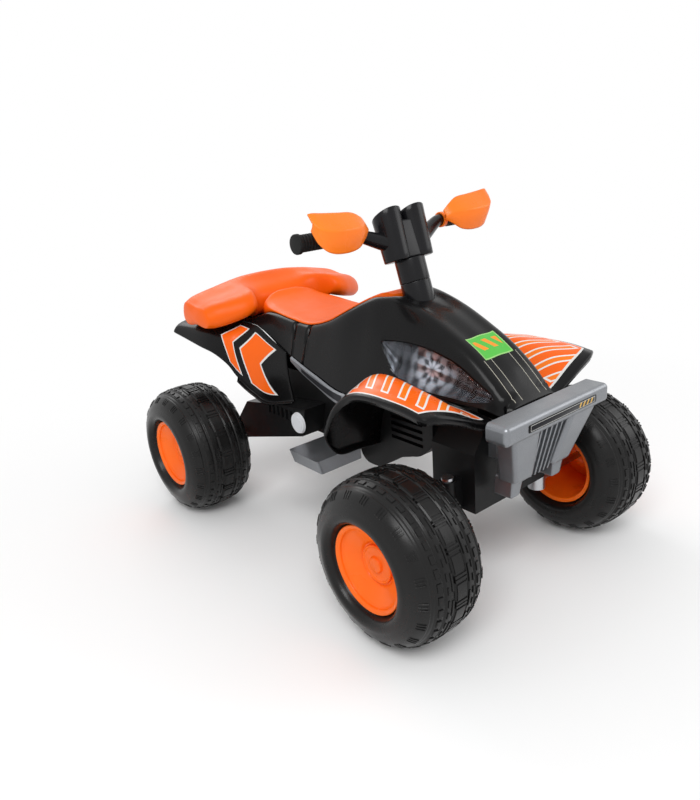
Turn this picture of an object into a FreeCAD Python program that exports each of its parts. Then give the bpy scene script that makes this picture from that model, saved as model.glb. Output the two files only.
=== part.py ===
import FreeCAD, Part
import Sketcher
import math
import os
from FreeCAD import Placement, Rotation, Vector

# Battery quad bike for children, in millimetres.
# +Z is up, the rider faces -Y and the rider's right hand is on -X.
# The origin lies on the ground under the middle of the outline.

doc = FreeCAD.newDocument("KidsQuad")
sheet = doc.addObject("Spreadsheet::Sheet", "Sizes")

# Driving dimensions. Heights named "_above_axle" are measured from the axle centres.
SIZES = (
    ("wheelbase", 694, "front axle to rear axle"),
    ("front_overhang", 139, "front axle to the front of the bumper"),
    ("track", 515, "between the middle planes of a pair of wheels"),
    ("tyre_radius", 148, "outside radius of the tyres"),
    ("tyre_width", 163, "over the sidewalls"),
    ("tyre_wall", 5.5, "thickness of the blown tyre wall"),
    ("tread_land", 40, "flat middle of the tread"),
    ("tread_edge", 45, "half width where crown and shoulder meet"),
    ("crown_drop", 5, "fall of the tread from its middle to the shoulder"),
    ("crown_round", 80, "radius of the crown"),
    ("shoulder_round", 53, "radius of the shoulder"),
    ("sidewall_land", 5, "flat height of the sidewall"),
    ("sidewall_foot", 16, "rim edge to the sidewall's flat"),
    ("sidewall_round", 22, "radius above the rim edge"),
    ("groove_width", 4.5, "tread groove"),
    ("groove_depth", 4, "tread groove, below the crown"),
    ("inner_groove", 13.5, "inner pair of grooves from the tyre's middle"),
    ("outer_groove", 28, "outer pair of grooves from the tyre's middle"),
    ("rim_radius", 77, "outer edge of the rim flange"),
    ("rim_seat", 72, "radius under the tyre bead"),
    ("rim_width", 134, "over the flanges"),
    ("rim_flange", 4, "flange thickness"),
    ("rim_wall", 3.5, "moulded wall of the rim"),
    ("dish_depth", 29, "rim face down to the hub plate"),
    ("dish_edge", 7, "rim face down to the edge of the dish"),
    ("hub_step", 5, "hub tube short of the rim's inner face"),
    ("hub_plate", 38, "radius of the hub plate"),
    ("hub_radius", 14, "hub tube"),
    ("axle_radius", 7, "wheel axles and kingpins"),
    ("running_clearance", 0.05, "radial play of a turning shaft"),
    ("seat_gap", 0.4, "play between parts that rest on each other"),
    ("cap_flange", 34, "radius of the hub caps"),
    ("cap_ring", 29, "inside of the raised ring on a hub cap"),
    ("cap_crown", 14, "radius of the hub cap's raised middle"),
    ("cap_height", 10, "hub plate to the front of the cap"),
    ("cap_wall", 2.6, "moulded wall of the hub caps"),
    ("collar_radius", 11, "shoulders on the axles"),
    ("collar_width", 7, "shoulders on the axles"),
    ("panel", 3.5, "wall of the body panels"),
    ("kingpin_x", 128, "kingpins from the middle plane"),
    ("kingpin_tube", 14, "outside radius of the kingpin tubes"),
    ("kingpin_head", 11, "radius of the kingpin head"),
    ("kingpin_head_height", 6, "kingpin head"),
    ("tube_bottom_above_axle", 24.5, "lower end of the kingpin tubes"),
    ("tube_height", 64, "length of the kingpin tubes"),
    ("knuckle_radius", 17, "barrel of the steering knuckle"),
    ("knuckle_drop", 22, "barrel below the axle centre"),
    ("knuckle_arm", 60, "kingpin to tie rod pin"),
    ("arm_width", 22, "steering arm"),
    ("arm_thickness", 8, "steering arm"),
    ("arm_above_axle", 2, "underside of the steering arm"),
    ("pin_radius", 5, "tie rod pins and crank pin"),
    ("rod_width", 22, "tie rod bar"),
    ("rod_thickness", 6, "tie rod bar"),
    ("tongue_width", 30, "middle tongue of the tie rod"),
    ("tongue_flare", 12, "slope from the bar to the tongue"),
    ("tongue_tip", 7, "tongue beyond the slot"),
    ("crank_slot_width", 13, "slot for the crank pin"),
    ("crank_slot_length", 20, "slot for the crank pin"),
    ("crank_radius", 30, "steering shaft to crank pin"),
    ("crank_thickness", 8, "crank arm"),
    ("eye_wall", 4, "round the pins of crank and shaft"),
    ("column_lean", 17.3, "steering axis from upright, in degrees"),
    ("column_y", 183, "front axle back to the column foot"),
    ("column_above_axle", 376, "height of the column foot"),
    ("column_radius", 29, "column cover"),
    ("column_collar", 20, "fixed collar above the column foot"),
    ("column_top", 64, "column cover's upper end"),
    ("shaft_radius", 8, "steering shaft"),
    ("crank_gap", 12, "crank above the tie rod"),
    ("bush_radius", 13, "steering bushes"),
    ("bush_length", 34, "steering bushes"),
    ("pod_foot", 25, "lower radius of the twin pods"),
    ("pod_top", 29, "upper radius of the twin pods"),
    ("pod_x", 30, "pods from the middle plane"),
    ("pod_height", 88, "length of the pods to the middle of their tops"),
    ("pod_slant", 18, "tops of the pods lean to the rider, in degrees"),
    ("gauge_radius", 25, "gauge recess"),
    ("gauge_depth", 6, "gauge recess"),
    ("bar_radius", 11, "handlebar tube"),
    ("bar_root_radius", 17, "handlebar arm at the pods"),
    ("bar_bend_x", 112, "where the arm turns into the grip"),
    ("bar_end_x", 234, "end of the handlebar"),
    ("bar_rise", 128, "grip height along the column"),
    ("bar_root_rise", 98, "arm root height along the column"),
    ("bar_back", 10, "grips behind the steering axis"),
    ("grip_radius", 15, "rubber grips"),
    ("grip_end_radius", 17.5, "flange at the end of the grips"),
    ("bar_root_x", 36, "arm root from the middle plane"),
    ("bridge_front", 15, "bridge between the pods, ahead of the column axis"),
    ("bridge_height", 70, "bridge between the pods"),
    ("button_x", 100, "throttle button from the middle plane"),
    ("button_radius", 7, "throttle button"),
    ("button_travel", 3, "throttle button"),
    ("button_wall", 3, "boss round the throttle button"),
    ("button_play", 0.3, "round the throttle button and the gauges"),
    ("switch_width", 24, "recess of the direction switch"),
    ("switch_height", 20, "recess of the direction switch"),
    ("switch_depth", 9, "recess of the direction switch"),
    ("switch_rise", 40, "direction switch above the foot of the pods"),
    ("guard_clamp", 9, "width of the hand guard's clamp"),
    ("guard_clamp_wall", 4, "hand guard's clamp round the bar"),
    ("tub_half_width", 86, "chassis tub"),
    ("tub_wall", 4, "chassis tub"),
    ("tub_front", 227, "front axle back to the tub's front wall"),
    ("tub_rear", 39, "rear axle forward to the tub's rear wall"),
    ("tub_floor_above_axle", 51.5, "underside of the tub"),
    ("tub_top_above_axle", 182, "upper edge of the tub"),
    ("tub_rib", 120, "width of the ribs under the seat"),
    ("tub_rib_gap", 33, "battery back to the front rib"),
    ("tub_rib_rear", 95, "rear axle forward to the rear rib"),
    ("beam_half_width", 56, "neck between tub and front bracket"),
    ("beam_bottom_above_axle", 122, "underside of the neck"),
    ("bracket_half_width", 100, "front bracket"),
    ("bracket_front", 38, "front axle forward to the bracket's face"),
    ("bracket_rear", 62, "front axle back to the bracket's rear"),
    ("bracket_bottom_above_axle", 24, "underside of the front bracket"),
    ("bracket_shoulder", 30, "sloped shoulder of the bracket, across"),
    ("bracket_slope", 46, "sloped shoulder of the bracket, down"),
    ("bracket_roof", 50, "solid top of the bracket"),
    ("tube_web", 18, "web between bracket and kingpin tube"),
    ("nose_post", 60, "width of the post under the nose"),
    ("nose_post_y", 10, "front axle back to the post under the nose"),
    ("seat_front", 240, "front axle back to the front of the seat"),
    ("seat_rear", 127, "rear of the seat ahead of the rear axle"),
    ("trim_front", 261, "front axle back to the side trims"),
    ("trim_gap", 13, "side trims short of the rear fenders"),
    ("step_outer", 200, "footrest's outer end from the middle plane"),
    ("step_rise", 8, "footrest above the floor of the tub"),
    ("step_thickness", 30, "footrest"),
    ("step_slant", 9, "outer side of the footrest leans in at its foot"),
    ("step_round", 5, "outer corners of the footrest"),
    ("step_wall", 3, "footrest wall"),
    ("engine_outer", 97, "engine cover's face from the middle plane"),
    ("engine_tail", 60, "room cut for the tub behind the engine cover"),
    ("fin_start", 112, "lowest cooling slot above the axle"),
    ("fin_pitch", 14, "between the cooling slots"),
    ("fin_front", 88, "front axle back to the cooling slots"),
    ("fin_rear", 172, "front axle back to the end of the cooling slots"),
    ("fin_depth", 9, "cooling slots"),
    ("arm_outer", 142, "rear arm's face from the middle plane"),
    ("arm_boss", 26, "rear arm round the axle"),
    ("bellows_start", 50, "front of the rear arm back to its bellows"),
    ("bellows_pitch", 17, "between the folds of the bellows"),
    ("bellows_above_axle", 88, "lower end of the bellows"),
    ("bellows_height", 24, "bellows"),
    ("bellows_depth", 6, "bellows"),
    ("cap_y", 26, "front of the rear arm back to its cap"),
    ("cap_above_axle", 92, "height of the cap's middle"),
    ("cap_radius", 24, "round cap on the rear arm"),
    ("cap_thickness", 5, "round cap on the rear arm"),
    ("bumper_half", 141, "bumper bar from the middle plane to its end"),
    ("bumper_bar", 34, "height of the bumper's top bar"),
    ("bumper_top_above_axle", 224, "upper edge of the bumper"),
    ("bumper_depth", 42, "bumper front to back"),
    ("bumper_wall", 5, "bumper shell"),
    ("bumper_round", 9, "edges of the bumper"),
    ("bumper_panel", 13, "ribbed panel behind the lobes"),
    ("bumper_rib", 4, "ribs of the panel"),
    ("bumper_rib_pitch", 15, "between neighbouring ribs"),
    ("bumper_stay", 26, "stays between bumper and bracket"),
    ("battery_length", 151, "sealed battery"),
    ("battery_width", 65, "sealed battery"),
    ("battery_height", 94, "sealed battery"),
    ("battery_front", 250, "front axle back to the battery"),
    ("gearbox_width", 46, "drive gearbox"),
    ("gearbox_side", 14, "gearbox from the middle plane"),
    ("gearbox_front", 74, "gearbox ahead of the rear axle"),
    ("gearbox_rear", 6, "gearbox behind the rear axle"),
    ("gearbox_drop", 20, "gearbox below the axle"),
    ("motor_front", 48, "motor ahead of the rear axle"),
    ("motor_rise", 22, "motor above the axle"),
    ("motor_radius", 19, "drive motor"),
    ("motor_length", 62, "drive motor"),
)
for row, (alias, number, note) in enumerate(SIZES, start=1):
    sheet.set("A%d" % row, note)
    sheet.set("B%d" % row, str(number))
    sheet.setAlias("B%d" % row, alias)
doc.recompute()


def val(expression):
    """The number that an expression on the sheet gives."""
    return float(sheet.evalExpression(str(expression)))


UP = Vector(0, 0, 1)
ACROSS = Vector(1, 0, 0)
ALONG = Vector(0, 1, 0)
GROUND = Placement()

FRONT_AXLE = "(-Sizes.wheelbase / 2)"
REAR_AXLE = "(Sizes.wheelbase / 2)"
BUMPER_FRONT = "(-Sizes.wheelbase / 2 - Sizes.front_overhang)"
AXLE_Z = "Sizes.tyre_radius"
FIT = "(Sizes.axle_radius + Sizes.running_clearance)"

front_axle = val(FRONT_AXLE)
rear_axle = val(REAR_AXLE)
axle_z = val(AXLE_Z)
panel = val("Sizes.panel")
gap = val("Sizes.seat_gap")
kingpin_x = val("Sizes.kingpin_x")


def point(x, y, z):
    return Vector(val(x), val(y), val(z))


# Sketches and features

def new_body(label):
    body = doc.addObject("PartDesign::Body", label)
    body.Label = label
    return body


def new_sketch(body, role, offset="0"):
    """A sketch on one of the body's own origin planes, moved along its normal."""
    sketch = body.newObject("Sketcher::SketchObject", body.Name + "_outline")
    plane = next(f for f in body.Origin.OriginFeatures if f.Role == role)
    sketch.AttachmentSupport = (plane, [""])
    sketch.MapMode = "FlatFace"
    sketch.setExpression("AttachmentOffset.Base.z", str(offset))
    return sketch


def tie(sketch, kind, value, *places):
    """Adds one dimension to a sketch and binds it to an expression."""
    index = sketch.addConstraint(Sketcher.Constraint(kind, *places, val(value)))
    sketch.setExpression("Constraints[%d]" % index, str(value))


def outline(sketch, points):
    """Draws a closed outline through (x, y) points. A third entry is the radius of the arc that
    leaves the point, positive where the arc turns left."""
    corners = [Vector(val(p[0]), val(p[1]), 0) for p in points]
    ends = []
    for i, start in enumerate(corners):
        stop = corners[(i + 1) % len(corners)]
        if len(points[i]) == 2:
            ends.append((sketch.addGeometry(Part.LineSegment(start, stop)), 1, 2))
            continue
        radius = val(points[i][2])
        chord = stop - start
        height = math.sqrt(radius * radius - chord.Length ** 2 / 4)
        left = Vector(-chord.y, chord.x, 0).normalize()
        centre = (start + stop) * 0.5 + left * math.copysign(height, radius)
        turns = [math.atan2(p.y - centre.y, p.x - centre.x) for p in (start, stop)]
        circle = Part.Circle(centre, UP, abs(radius))
        if radius > 0:
            arc = sketch.addGeometry(Part.ArcOfCircle(circle, turns[0], turns[1]))
            ends.append((arc, 1, 2))
        else:
            arc = sketch.addGeometry(Part.ArcOfCircle(circle, turns[1], turns[0]))
            ends.append((arc, 2, 1))
        tie(sketch, "Radius", "abs(%s)" % points[i][2], arc)
    for i, (edge, start, stop) in enumerate(ends):
        after = ends[(i + 1) % len(ends)]
        sketch.addConstraint(Sketcher.Constraint("Coincident", edge, stop, after[0], after[1]))
        tie(sketch, "DistanceX", points[i][0], -1, 1, edge, start)
        tie(sketch, "DistanceY", points[i][1], -1, 1, edge, start)


def rectangle(sketch, x0, x1, y0, y1):
    outline(sketch, [(x0, y0), (x1, y0), (x1, y1), (x0, y1)])


def circle(sketch, x, y, radius):
    ring = sketch.addGeometry(Part.Circle(Vector(val(x), val(y), 0), UP, val(radius)))
    tie(sketch, "DistanceX", x, -1, 1, ring, 3)
    tie(sketch, "DistanceY", y, -1, 1, ring, 3)
    tie(sketch, "Radius", radius, ring)


def feature(body, kind, sketch, length, reverse=False):
    """Pad or Pocket of a sketch by an expression."""
    made = body.newObject("PartDesign::" + kind, body.Name + "_" + kind.lower())
    made.Profile = sketch
    made.Reversed = reverse
    made.setExpression("Length", str(length))
    doc.recompute()
    return made


def turned(body, kind, sketch):
    """Revolution or Groove of a sketch about its horizontal axis."""
    made = body.newObject("PartDesign::" + kind, body.Name + "_" + kind.lower())
    made.Profile = sketch
    made.ReferenceAxis = (sketch, ["H_Axis"])
    made.Angle = 360
    doc.recompute()
    return made


def rounded(body, radius, chosen):
    """Fillets the edges of the body's last feature for which chosen(edge) is true."""
    tip = body.Tip
    names = ["Edge%d" % (i + 1) for i, edge in enumerate(tip.Shape.Edges) if chosen(edge)]
    made = body.newObject("PartDesign::Fillet", body.Name + "_fillet")
    made.Base = (tip, names)
    made.setExpression("Radius", str(radius))
    doc.recompute()


# Primitives

def block(label, x, y, z, frame=GROUND):
    """A box between pairs of expressions along each axis."""
    box = doc.addObject("Part::Box", label)
    for name, pair in (("Length", x), ("Width", y), ("Height", z)):
        box.setExpression(name, "(%s) - (%s)" % (pair[1], pair[0]))
    box.Placement = frame.multiply(Placement(point(x[0], y[0], z[0]), Rotation()))
    return box


def rod(label, radius, start, stop, frame=GROUND, end_radius=None):
    """A round bar, or a cone with end_radius, between two points."""
    way = stop - start
    bar = doc.addObject("Part::Cylinder" if end_radius is None else "Part::Cone", label)
    if end_radius is None:
        bar.setExpression("Radius", str(radius))
    else:
        bar.setExpression("Radius1", str(radius))
        bar.setExpression("Radius2", str(end_radius))
    bar.Height = way.Length
    bar.Placement = frame.multiply(Placement(start, Rotation(UP, way)))
    return bar


def joined(label, pieces):
    fuse = doc.addObject("Part::MultiFuse", label)
    fuse.Shapes = pieces
    fuse.Refine = True
    fuse.Label = label
    doc.recompute()
    return fuse


def less(label, base, tools):
    """A base with every tool cut away."""
    cut = doc.addObject("Part::Cut", label)
    cut.Base = base
    cut.Tool = tools[0] if len(tools) == 1 else joined(label + "_tools", tools)
    cut.Refine = True
    cut.Label = label
    doc.recompute()
    return cut


def mirrored(label, source):
    """The left-hand twin of a right-hand piece."""
    twin = doc.addObject("Part::Mirroring", label)
    twin.Source = source
    twin.Normal = ACROSS
    twin.Label = label
    doc.recompute()
    return twin


def shaped(label, shape):
    """A piece whose shape is worked out here, such as a lofted panel."""
    made = doc.addObject("Part::Feature", label)
    made.Shape = shape
    made.Label = label
    return made


nodes = []


def keep(*pieces):
    nodes.extend(pieces)
    return pieces[0]


# Lofted bodywork
# A station lies behind the front axle, or behind the rear axle where marked "rear". One marked "seat" lies
# behind the front of the seat, on a seat drawn at SEAT_DRAWN, and moves with the seat's length.
# Heights are above the axle centres.
SEAT_DRAWN = 327

seat_front = front_axle + val("Sizes.seat_front")
seat_rear = rear_axle - val("Sizes.seat_rear")


def station_y(zone, place):
    if zone == "seat":
        return seat_front + (seat_rear - seat_front) * place / SEAT_DRAWN
    return (front_axle if zone == "front" else rear_axle) + place


def skin(points, wall, side):
    """The points moved by the wall along their normals in the section's plane."""
    moved = []
    for i, here in enumerate(points):
        before = points[max(i - 1, 0)]
        after = points[min(i + 1, len(points) - 1)]
        moved.append(here + (after - before).cross(side).normalize() * wall)
    return moved


def spacing(rows):
    """Curve parameters that suit every row of points, from their mean distances."""
    marks = [0.0]
    for i in range(1, len(rows[0])):
        steps = [(row[i] - row[i - 1]).Length for row in rows]
        marks.append(marks[-1] + sum(steps) / len(steps))
    return [mark / marks[-1] for mark in marks]


def loft(sections):
    """A closed skin through sections, each a pair of outer and inner rows of points."""
    marks = [spacing([pair[k] for pair in sections]) for k in (0, 1)]
    wires = []
    for outer, inner in sections:
        curves = []
        for row, places in ((outer, marks[0]), (inner, marks[1])):
            curve = Part.BSplineCurve()
            curve.interpolate(Points=row, Parameters=places)
            curves.append(curve.toShape())
        ends = [Part.makeLine(outer[k], inner[k]) for k in (0, -1)]
        wires.append(Part.Wire([curves[0], ends[1], curves[1].reversed(), ends[0]]))
    return Part.makeLoft(wires, True, False)


def evenly(rows, count):
    """Places at even distances from the first row to the last."""
    first, last = rows[0][0], rows[-1][0]
    return [first + (last - first) * i / count for i in range(count + 1)]


def smooth(rows, where):
    """Reads rows of (place, number, ...) at a place, on a curve through the rows."""
    spot = max(1, min(len(rows) - 1, sum(1 for row in rows if row[0] <= where)))
    first, second = rows[spot - 1], rows[spot]
    span = second[0] - first[0]
    share = min(max((where - first[0]) / span, 0), 1)
    before = rows[max(spot - 2, 0)]
    after = rows[min(spot + 1, len(rows) - 1)]
    found = []
    for a, b, c, d in zip(before[1:], first[1:], second[1:], after[1:]):
        rise = (c - a) * span / (second[0] - before[0])
        fall = (d - b) * span / (after[0] - first[0])
        cube = 2 * b - 2 * c + rise + fall
        square = 3 * c - 3 * b - 2 * rise - fall
        found.append(((cube * share + square) * share + rise) * share + b)
    return found


# Upper body: crown height, then (half width, height) of shoulder, flank and lower edge
UPPER_BODY = (
    ("front", -83, 222, 50, 220, 58, 214, 60, 204),
    ("front", -71, 233, 54, 230, 63, 218, 66, 202),
    ("front", -35, 267, 57, 263, 69, 242, 78, 214),
    ("front", 5, 298, 58, 293, 76, 257, 90, 218),
    ("front", 55, 326, 59, 320, 83, 277, 100, 222),
    ("front", 105, 350, 60, 343, 88, 292, 106, 230),
    ("front", 155, 366, 61, 360, 92, 302, 110, 242),
    ("front", 193, 374, 63, 368, 95, 306, 117, 216),
    ("front", 217, 358, 66, 371, 97, 304, 124, 192),
    ("front", 240, 350, 70, 368, 99, 298, 128, 184),
    ("seat", 55, 322, 84, 342, 106, 282, 130, 186),
    ("seat", 115, 297, 90, 314, 108, 272, 127, 201),
    ("seat", 178, 284, 92, 299, 110, 264, 124, 218),
    ("seat", 240, 286, 92, 302, 108, 276, 120, 237),
    ("rear", -127, 290, 92, 308, 108, 298, 126, 284),
    ("rear", -89, 289, 95, 294, 115, 292, 132, 290),
    ("rear", -39, 288, 98, 288, 118, 288, 138, 288),
    ("rear", 89, 288, 98, 288, 118, 288, 140, 287),
)
BODY_SECTIONS = 43
body_rows = [(station_y(row[0], row[1]),) + row[2:] for row in UPPER_BODY]
body_places = evenly(body_rows, BODY_SECTIONS)


def body_section(y):
    """Points of the upper body's outside at one place, from its left edge to its right edge."""
    crown, sx, sz, mx, mz, ex, ez = smooth(body_rows, y)
    half = [(ex, ez), (mx, mz), (sx, sz), (sx / 2, crown + (sz - crown) * 0.2)]
    xz = half + [(0, crown)] + [(-x, z) for x, z in reversed(half)]
    return [Vector(x, y, axle_z + z) for x, z in xz]


body_marks = spacing([body_section(y) for y in body_places])


def body_top(y, x):
    """Height of the upper body beside the middle plane."""
    curve = Part.BSplineCurve()
    curve.interpolate(Points=body_section(y), Parameters=body_marks)
    spots = [curve.value(0.5 + 0.5 * i / 60) for i in range(61)]
    outside = next(i for i, spot in enumerate(spots) if -spot.x >= x and i)
    near, far = spots[outside - 1], spots[outside]
    return near.z + (far.z - near.z) * (x + near.x) / (near.x - far.x)


def flank(y, z, out):
    """A point on the right flank at a height, moved out along the flank's normal."""
    crown, sx, sz, mx, mz, ex, ez = smooth(body_rows, y)
    rows = sorted([(ez, ex), (mz, mx), (sz, sx)])
    height = z - axle_z
    x = smooth(rows, height)[0]
    slope = smooth(rows, height + 1)[0] - smooth(rows, height - 1)[0]
    normal = Vector(2, 0, -slope).normalize()
    spot = Vector(x, y, z) + normal * out
    return Vector(-spot.x, spot.y, spot.z)


# Headlights: distance behind the front axle, upper and lower edge above the axle
HEADLIGHT = (
    (-51, 234, 229),
    (-43, 240, 226),
    (-15, 257, 223),
    (25, 280, 226),
    (70, 295, 229),
    (115, 303, 239),
    (150, 304, 251),
    (170, 303, 278),
    (186, 302, 299),
)


def headlight(grow, depth_out, depth_in, bowl=0):
    """A patch of the right flank between two depths, grown beyond the lamp's outline."""
    sections = []
    places = evenly(HEADLIGHT, LAMP_SECTIONS)
    for distance in places:
        top, bottom = smooth(HEADLIGHT, distance)
        end = 1 if distance == places[-1] else -1 if distance == places[0] else 0
        y = front_axle + distance + end * grow
        high = axle_z + top + grow
        low = axle_z + bottom - grow
        middle = (high + low) / 2
        sink = bowl * min(1, (high - low) / 60)
        outer = [flank(y, high, depth_out), flank(y, middle, depth_out - sink), flank(y, low, depth_out)]
        inner = [flank(y, high, depth_in), flank(y, middle, depth_in - sink), flank(y, low, depth_in)]
        sections.append((outer, inner))
    return loft(sections)


LAMP_SECTIONS = 18
LENS_PROUD = 1.2
LENS_THICKNESS = 2.4
LAMP_CLEARANCE = 0.4
REFLECTOR_DEPTH = 14
REFLECTOR_WALL = 2

steering_foot = point(0, "%s + Sizes.column_y" % FRONT_AXLE, "Sizes.tyre_radius + Sizes.column_above_axle")
steering = Placement(steering_foot, Rotation(ACROSS, -val("Sizes.column_lean")))


def upper_body():
    sections = []
    for y in body_places:
        outer = body_section(y)
        sections.append((outer, skin(outer, panel, ALONG)))
    shell = loft(sections)
    window = headlight(LAMP_CLEARANCE, 8, -9)
    shell = shell.cut(window).cut(window.mirror(Vector(), ACROSS))
    radius = val("Sizes.column_radius")
    collar = Part.makeCylinder(radius, val("Sizes.column_collar") + 26, Vector(0, 0, -26))
    collar.Placement = steering
    bore = Part.makeCylinder(val("Sizes.bush_radius"), 140, Vector(0, 0, -70))
    bore.Placement = steering
    return shell.fuse(collar).cut(bore).removeSplitter()


keep(shaped("upper_body", upper_body()))

lens = headlight(0, LENS_PROUD, LENS_PROUD - LENS_THICKNESS)
keep(shaped("headlight_lens_right", lens))
keep(mirrored("headlight_lens_left", nodes[-1]))
behind = -panel - 3 * gap
reflector = headlight(3, behind, behind - REFLECTOR_WALL, REFLECTOR_DEPTH)
keep(shaped("headlight_reflector_right", reflector))
keep(mirrored("headlight_reflector_left", nodes[-1]))

# Front fenders: at each half width, points (behind the front axle, above the axle) over the wheel
FENDER = (
    (72, (-59, 198), (-20, 203), (35, 206), (95, 211), (143, 218), (177, 199), (203, 152), (217, 97)),
    (100, (-59, 202), (-20, 210), (35, 215), (95, 223), (143, 229), (177, 211), (203, 157), (217, 98)),
    (155, (-62, 226), (-20, 244), (35, 256), (95, 265), (143, 260), (177, 232), (203, 170), (217, 102)),
    (205, (-58, 245), (-18, 254), (38, 260), (95, 261), (140, 250), (173, 224), (199, 174), (216, 110)),
    (228, (-49, 246), (-10, 252), (40, 254), (93, 252), (137, 241), (169, 219), (195, 186), (213, 148)),
)
LIP_DEPTH = 16
LIP_INSET = 0.8
FENDER_SECTIONS = 8


def fender_path(x):
    """Points of the fender's outside over the wheel at one half width."""
    numbers = smooth([(row[0],) + sum(row[1:], ()) for row in FENDER], x)
    return [Vector(-x, front_axle + y, axle_z + z) for y, z in zip(numbers[::2], numbers[1::2])]


def front_fender():
    sections = []
    for x in evenly(FENDER, FENDER_SECTIONS):
        outer = fender_path(x)
        sections.append((outer, skin(outer, panel, ACROSS)))
    lip = []
    for inset in (panel + LIP_INSET, LIP_INSET):
        path = fender_path(FENDER[-1][0] - inset)
        path[0] += (path[1] - path[0]).normalize() * LIP_INSET
        path[-1] += (path[-2] - path[-1]).normalize() * LIP_INSET
        lip.append((skin(path, LIP_INSET, ACROSS), skin(path, LIP_DEPTH, ACROSS)))
    return loft(sections).fuse(loft(lip)).removeSplitter()


keep(shaped("front_fender_right", front_fender()))
keep(mirrored("front_fender_left", nodes[-1]))

# Rear fenders: lower edge, bulge and upper edge, each as (half width, from the rear axle, above the axle)
REAR_FENDER = (
    ((120, -229, 128), (125, -226, 182), (122.5, -221, 236)),
    ((140, -157, 115), (139, -166, 192), (128.5, -174, 262)),
    ((158, -124, 136), (153, -130, 214), (132, -134, 284)),
    ((176, -97, 167), (168, -100, 238), (135, -104, 289)),
    ((192, -83, 202), (180, -80, 258), (137.5, -76, 289)),
    ((208, -54, 228), (191, -46, 270), (141, -38, 288)),
    ((220, -9, 242), (199, 0, 276), (141.5, 6, 288)),
    ((230, 88, 263), (206, 89, 280), (141.5, 89, 287)),
)


def rear_fender():
    sections = []
    rows = [(i,) + sum(row, ()) for i, row in enumerate(REAR_FENDER)]
    for place in evenly(rows, 2 * len(rows) - 2):
        n = smooth(rows, place)
        outer = [Vector(-n[k], rear_axle + n[k + 1], axle_z + n[k + 2]) for k in (0, 3, 6)]
        way = outer[2] - outer[0]
        inward = way.cross(outer[1] - outer[0]).cross(way).normalize() * -panel
        sections.append((outer, [p + inward for p in outer]))
    return loft(sections)


keep(shaped("rear_fender_right", rear_fender()))
keep(mirrored("rear_fender_left", nodes[-1]))

# Saddle: half width and top height along the seat
SADDLE = (
    ("front", 221, 40, 374),
    ("front", 238, 54, 379),
    ("seat", 55, 82, 349),
    ("seat", 115, 90, 321),
    ("seat", 178, 92, 305),
    ("seat", 240, 92, 308),
    ("rear", -127, 88, 320),
    ("rear", -89, 82, 331),
    ("rear", -68, 74, 343),
)
SADDLE_EDGE = 4
SADDLE_SECTIONS = 40


def saddle():
    sections = []
    rows = [(station_y(row[0], row[1]),) + row[2:] for row in SADDLE]
    for y in evenly(rows, SADDLE_SECTIONS):
        half, top = smooth(rows, y)
        crest = axle_z + top
        shares = (1, 0.85, 0.6, 0.3, 0)
        seat = [body_top(y, half * share) + 4 * gap for share in shares]
        edge = max(seat[0] + SADDLE_EDGE, crest - 8)
        upper = [(-half, edge), (-half * 0.88, crest - 2.5), (-half * 0.5, crest), (0, crest)]
        lower = [(-half * share, z) for share, z in zip(shares, seat)]
        both = [row + [(-x, z) for x, z in reversed(row[:-1])] for row in (upper, lower)]
        over, under = [[Vector(x, y, z) for x, z in row] for row in both]
        sections.append((over, under))
    return loft(sections)


keep(shaped("saddle", saddle()))

# Backrest: at each half width the front and rear, lower front, lower rear, upper front and upper rear
BACKREST = (
    (0, -47, 45, 290, 290, 338, 372),
    (60, -51, 45, 290, 290, 343, 375),
    (92, -66, 46, 291, 290, 362, 386),
    (112, -118, 46, 316, 290, 352, 387),
    (136, -133, 47, 312, 290, 345, 376),
    (168, -112, 48, 300, 290, 334, 354),
    (200, -52, 48, 290, 288, 316, 332),
    (221, 4, 44, 294, 293, 309, 316),
)


BACKREST_SECTIONS = 34


def backrest():
    sections = []
    rows = [(-r[0],) + r[1:] for r in reversed(BACKREST[1:])] + list(BACKREST)
    for x in evenly(rows, BACKREST_SECTIONS):
        front, rear, low_front, low_rear, high_front, high_rear = smooth(rows, x)
        over = [
            (front + 2, low_front + 6),
            (front, (low_front + high_front) / 2),
            (front + 9, high_front),
            ((front + rear) / 2, (high_front + high_rear) / 2 + 4),
            (rear - 12, high_rear),
            (rear, (low_rear + high_rear) / 2),
            (rear - 2, low_rear + 6),
        ]
        middle = ((front + rear) / 2, (low_front + low_rear) / 2)
        under = [(front + 8, low_front), middle, (rear - 8, low_rear)]
        sections.append([[Vector(x, rear_axle + y, axle_z + z) for y, z in row] for row in (over, under)])
    return loft(sections)


keep(shaped("backrest", backrest()))

# Side trims: tapered strips along the lower edge of the body, as share of their length and width
TRIM = (
    (0, 28),
    (0.41, 23),
    (0.82, 17),
    (1, 11),
)
TRIM_LAP = 4
TRIM_THICKNESS = 5
TRIM_SECTIONS = 10


def side_trim():
    sections = []
    start = front_axle + val("Sizes.trim_front")
    stop = rear_axle + REAR_FENDER[0][0][1] - val("Sizes.trim_gap")
    rows = [(start + (stop - start) * share, width) for share, width in TRIM]
    for y in evenly(rows, TRIM_SECTIONS):
        width = smooth(rows, y)[0]
        edge_x, edge_z = smooth(body_rows, y)[-2:]
        top = axle_z + edge_z + TRIM_LAP
        near = -edge_x - gap
        far = near - TRIM_THICKNESS
        corners = [(near, top), (far, top - 2), (far, top - width + 2), (near, top - width)]
        sections.append(Part.makePolygon([Vector(x, y, z) for x, z in corners + corners[:1]]))
    return Part.makeLoft(sections, True, True)


keep(shaped("side_trim_right", side_trim()))
keep(mirrored("side_trim_left", nodes[-1]))


# Wheels, with the local X axis along the axle and +X outwards

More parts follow.
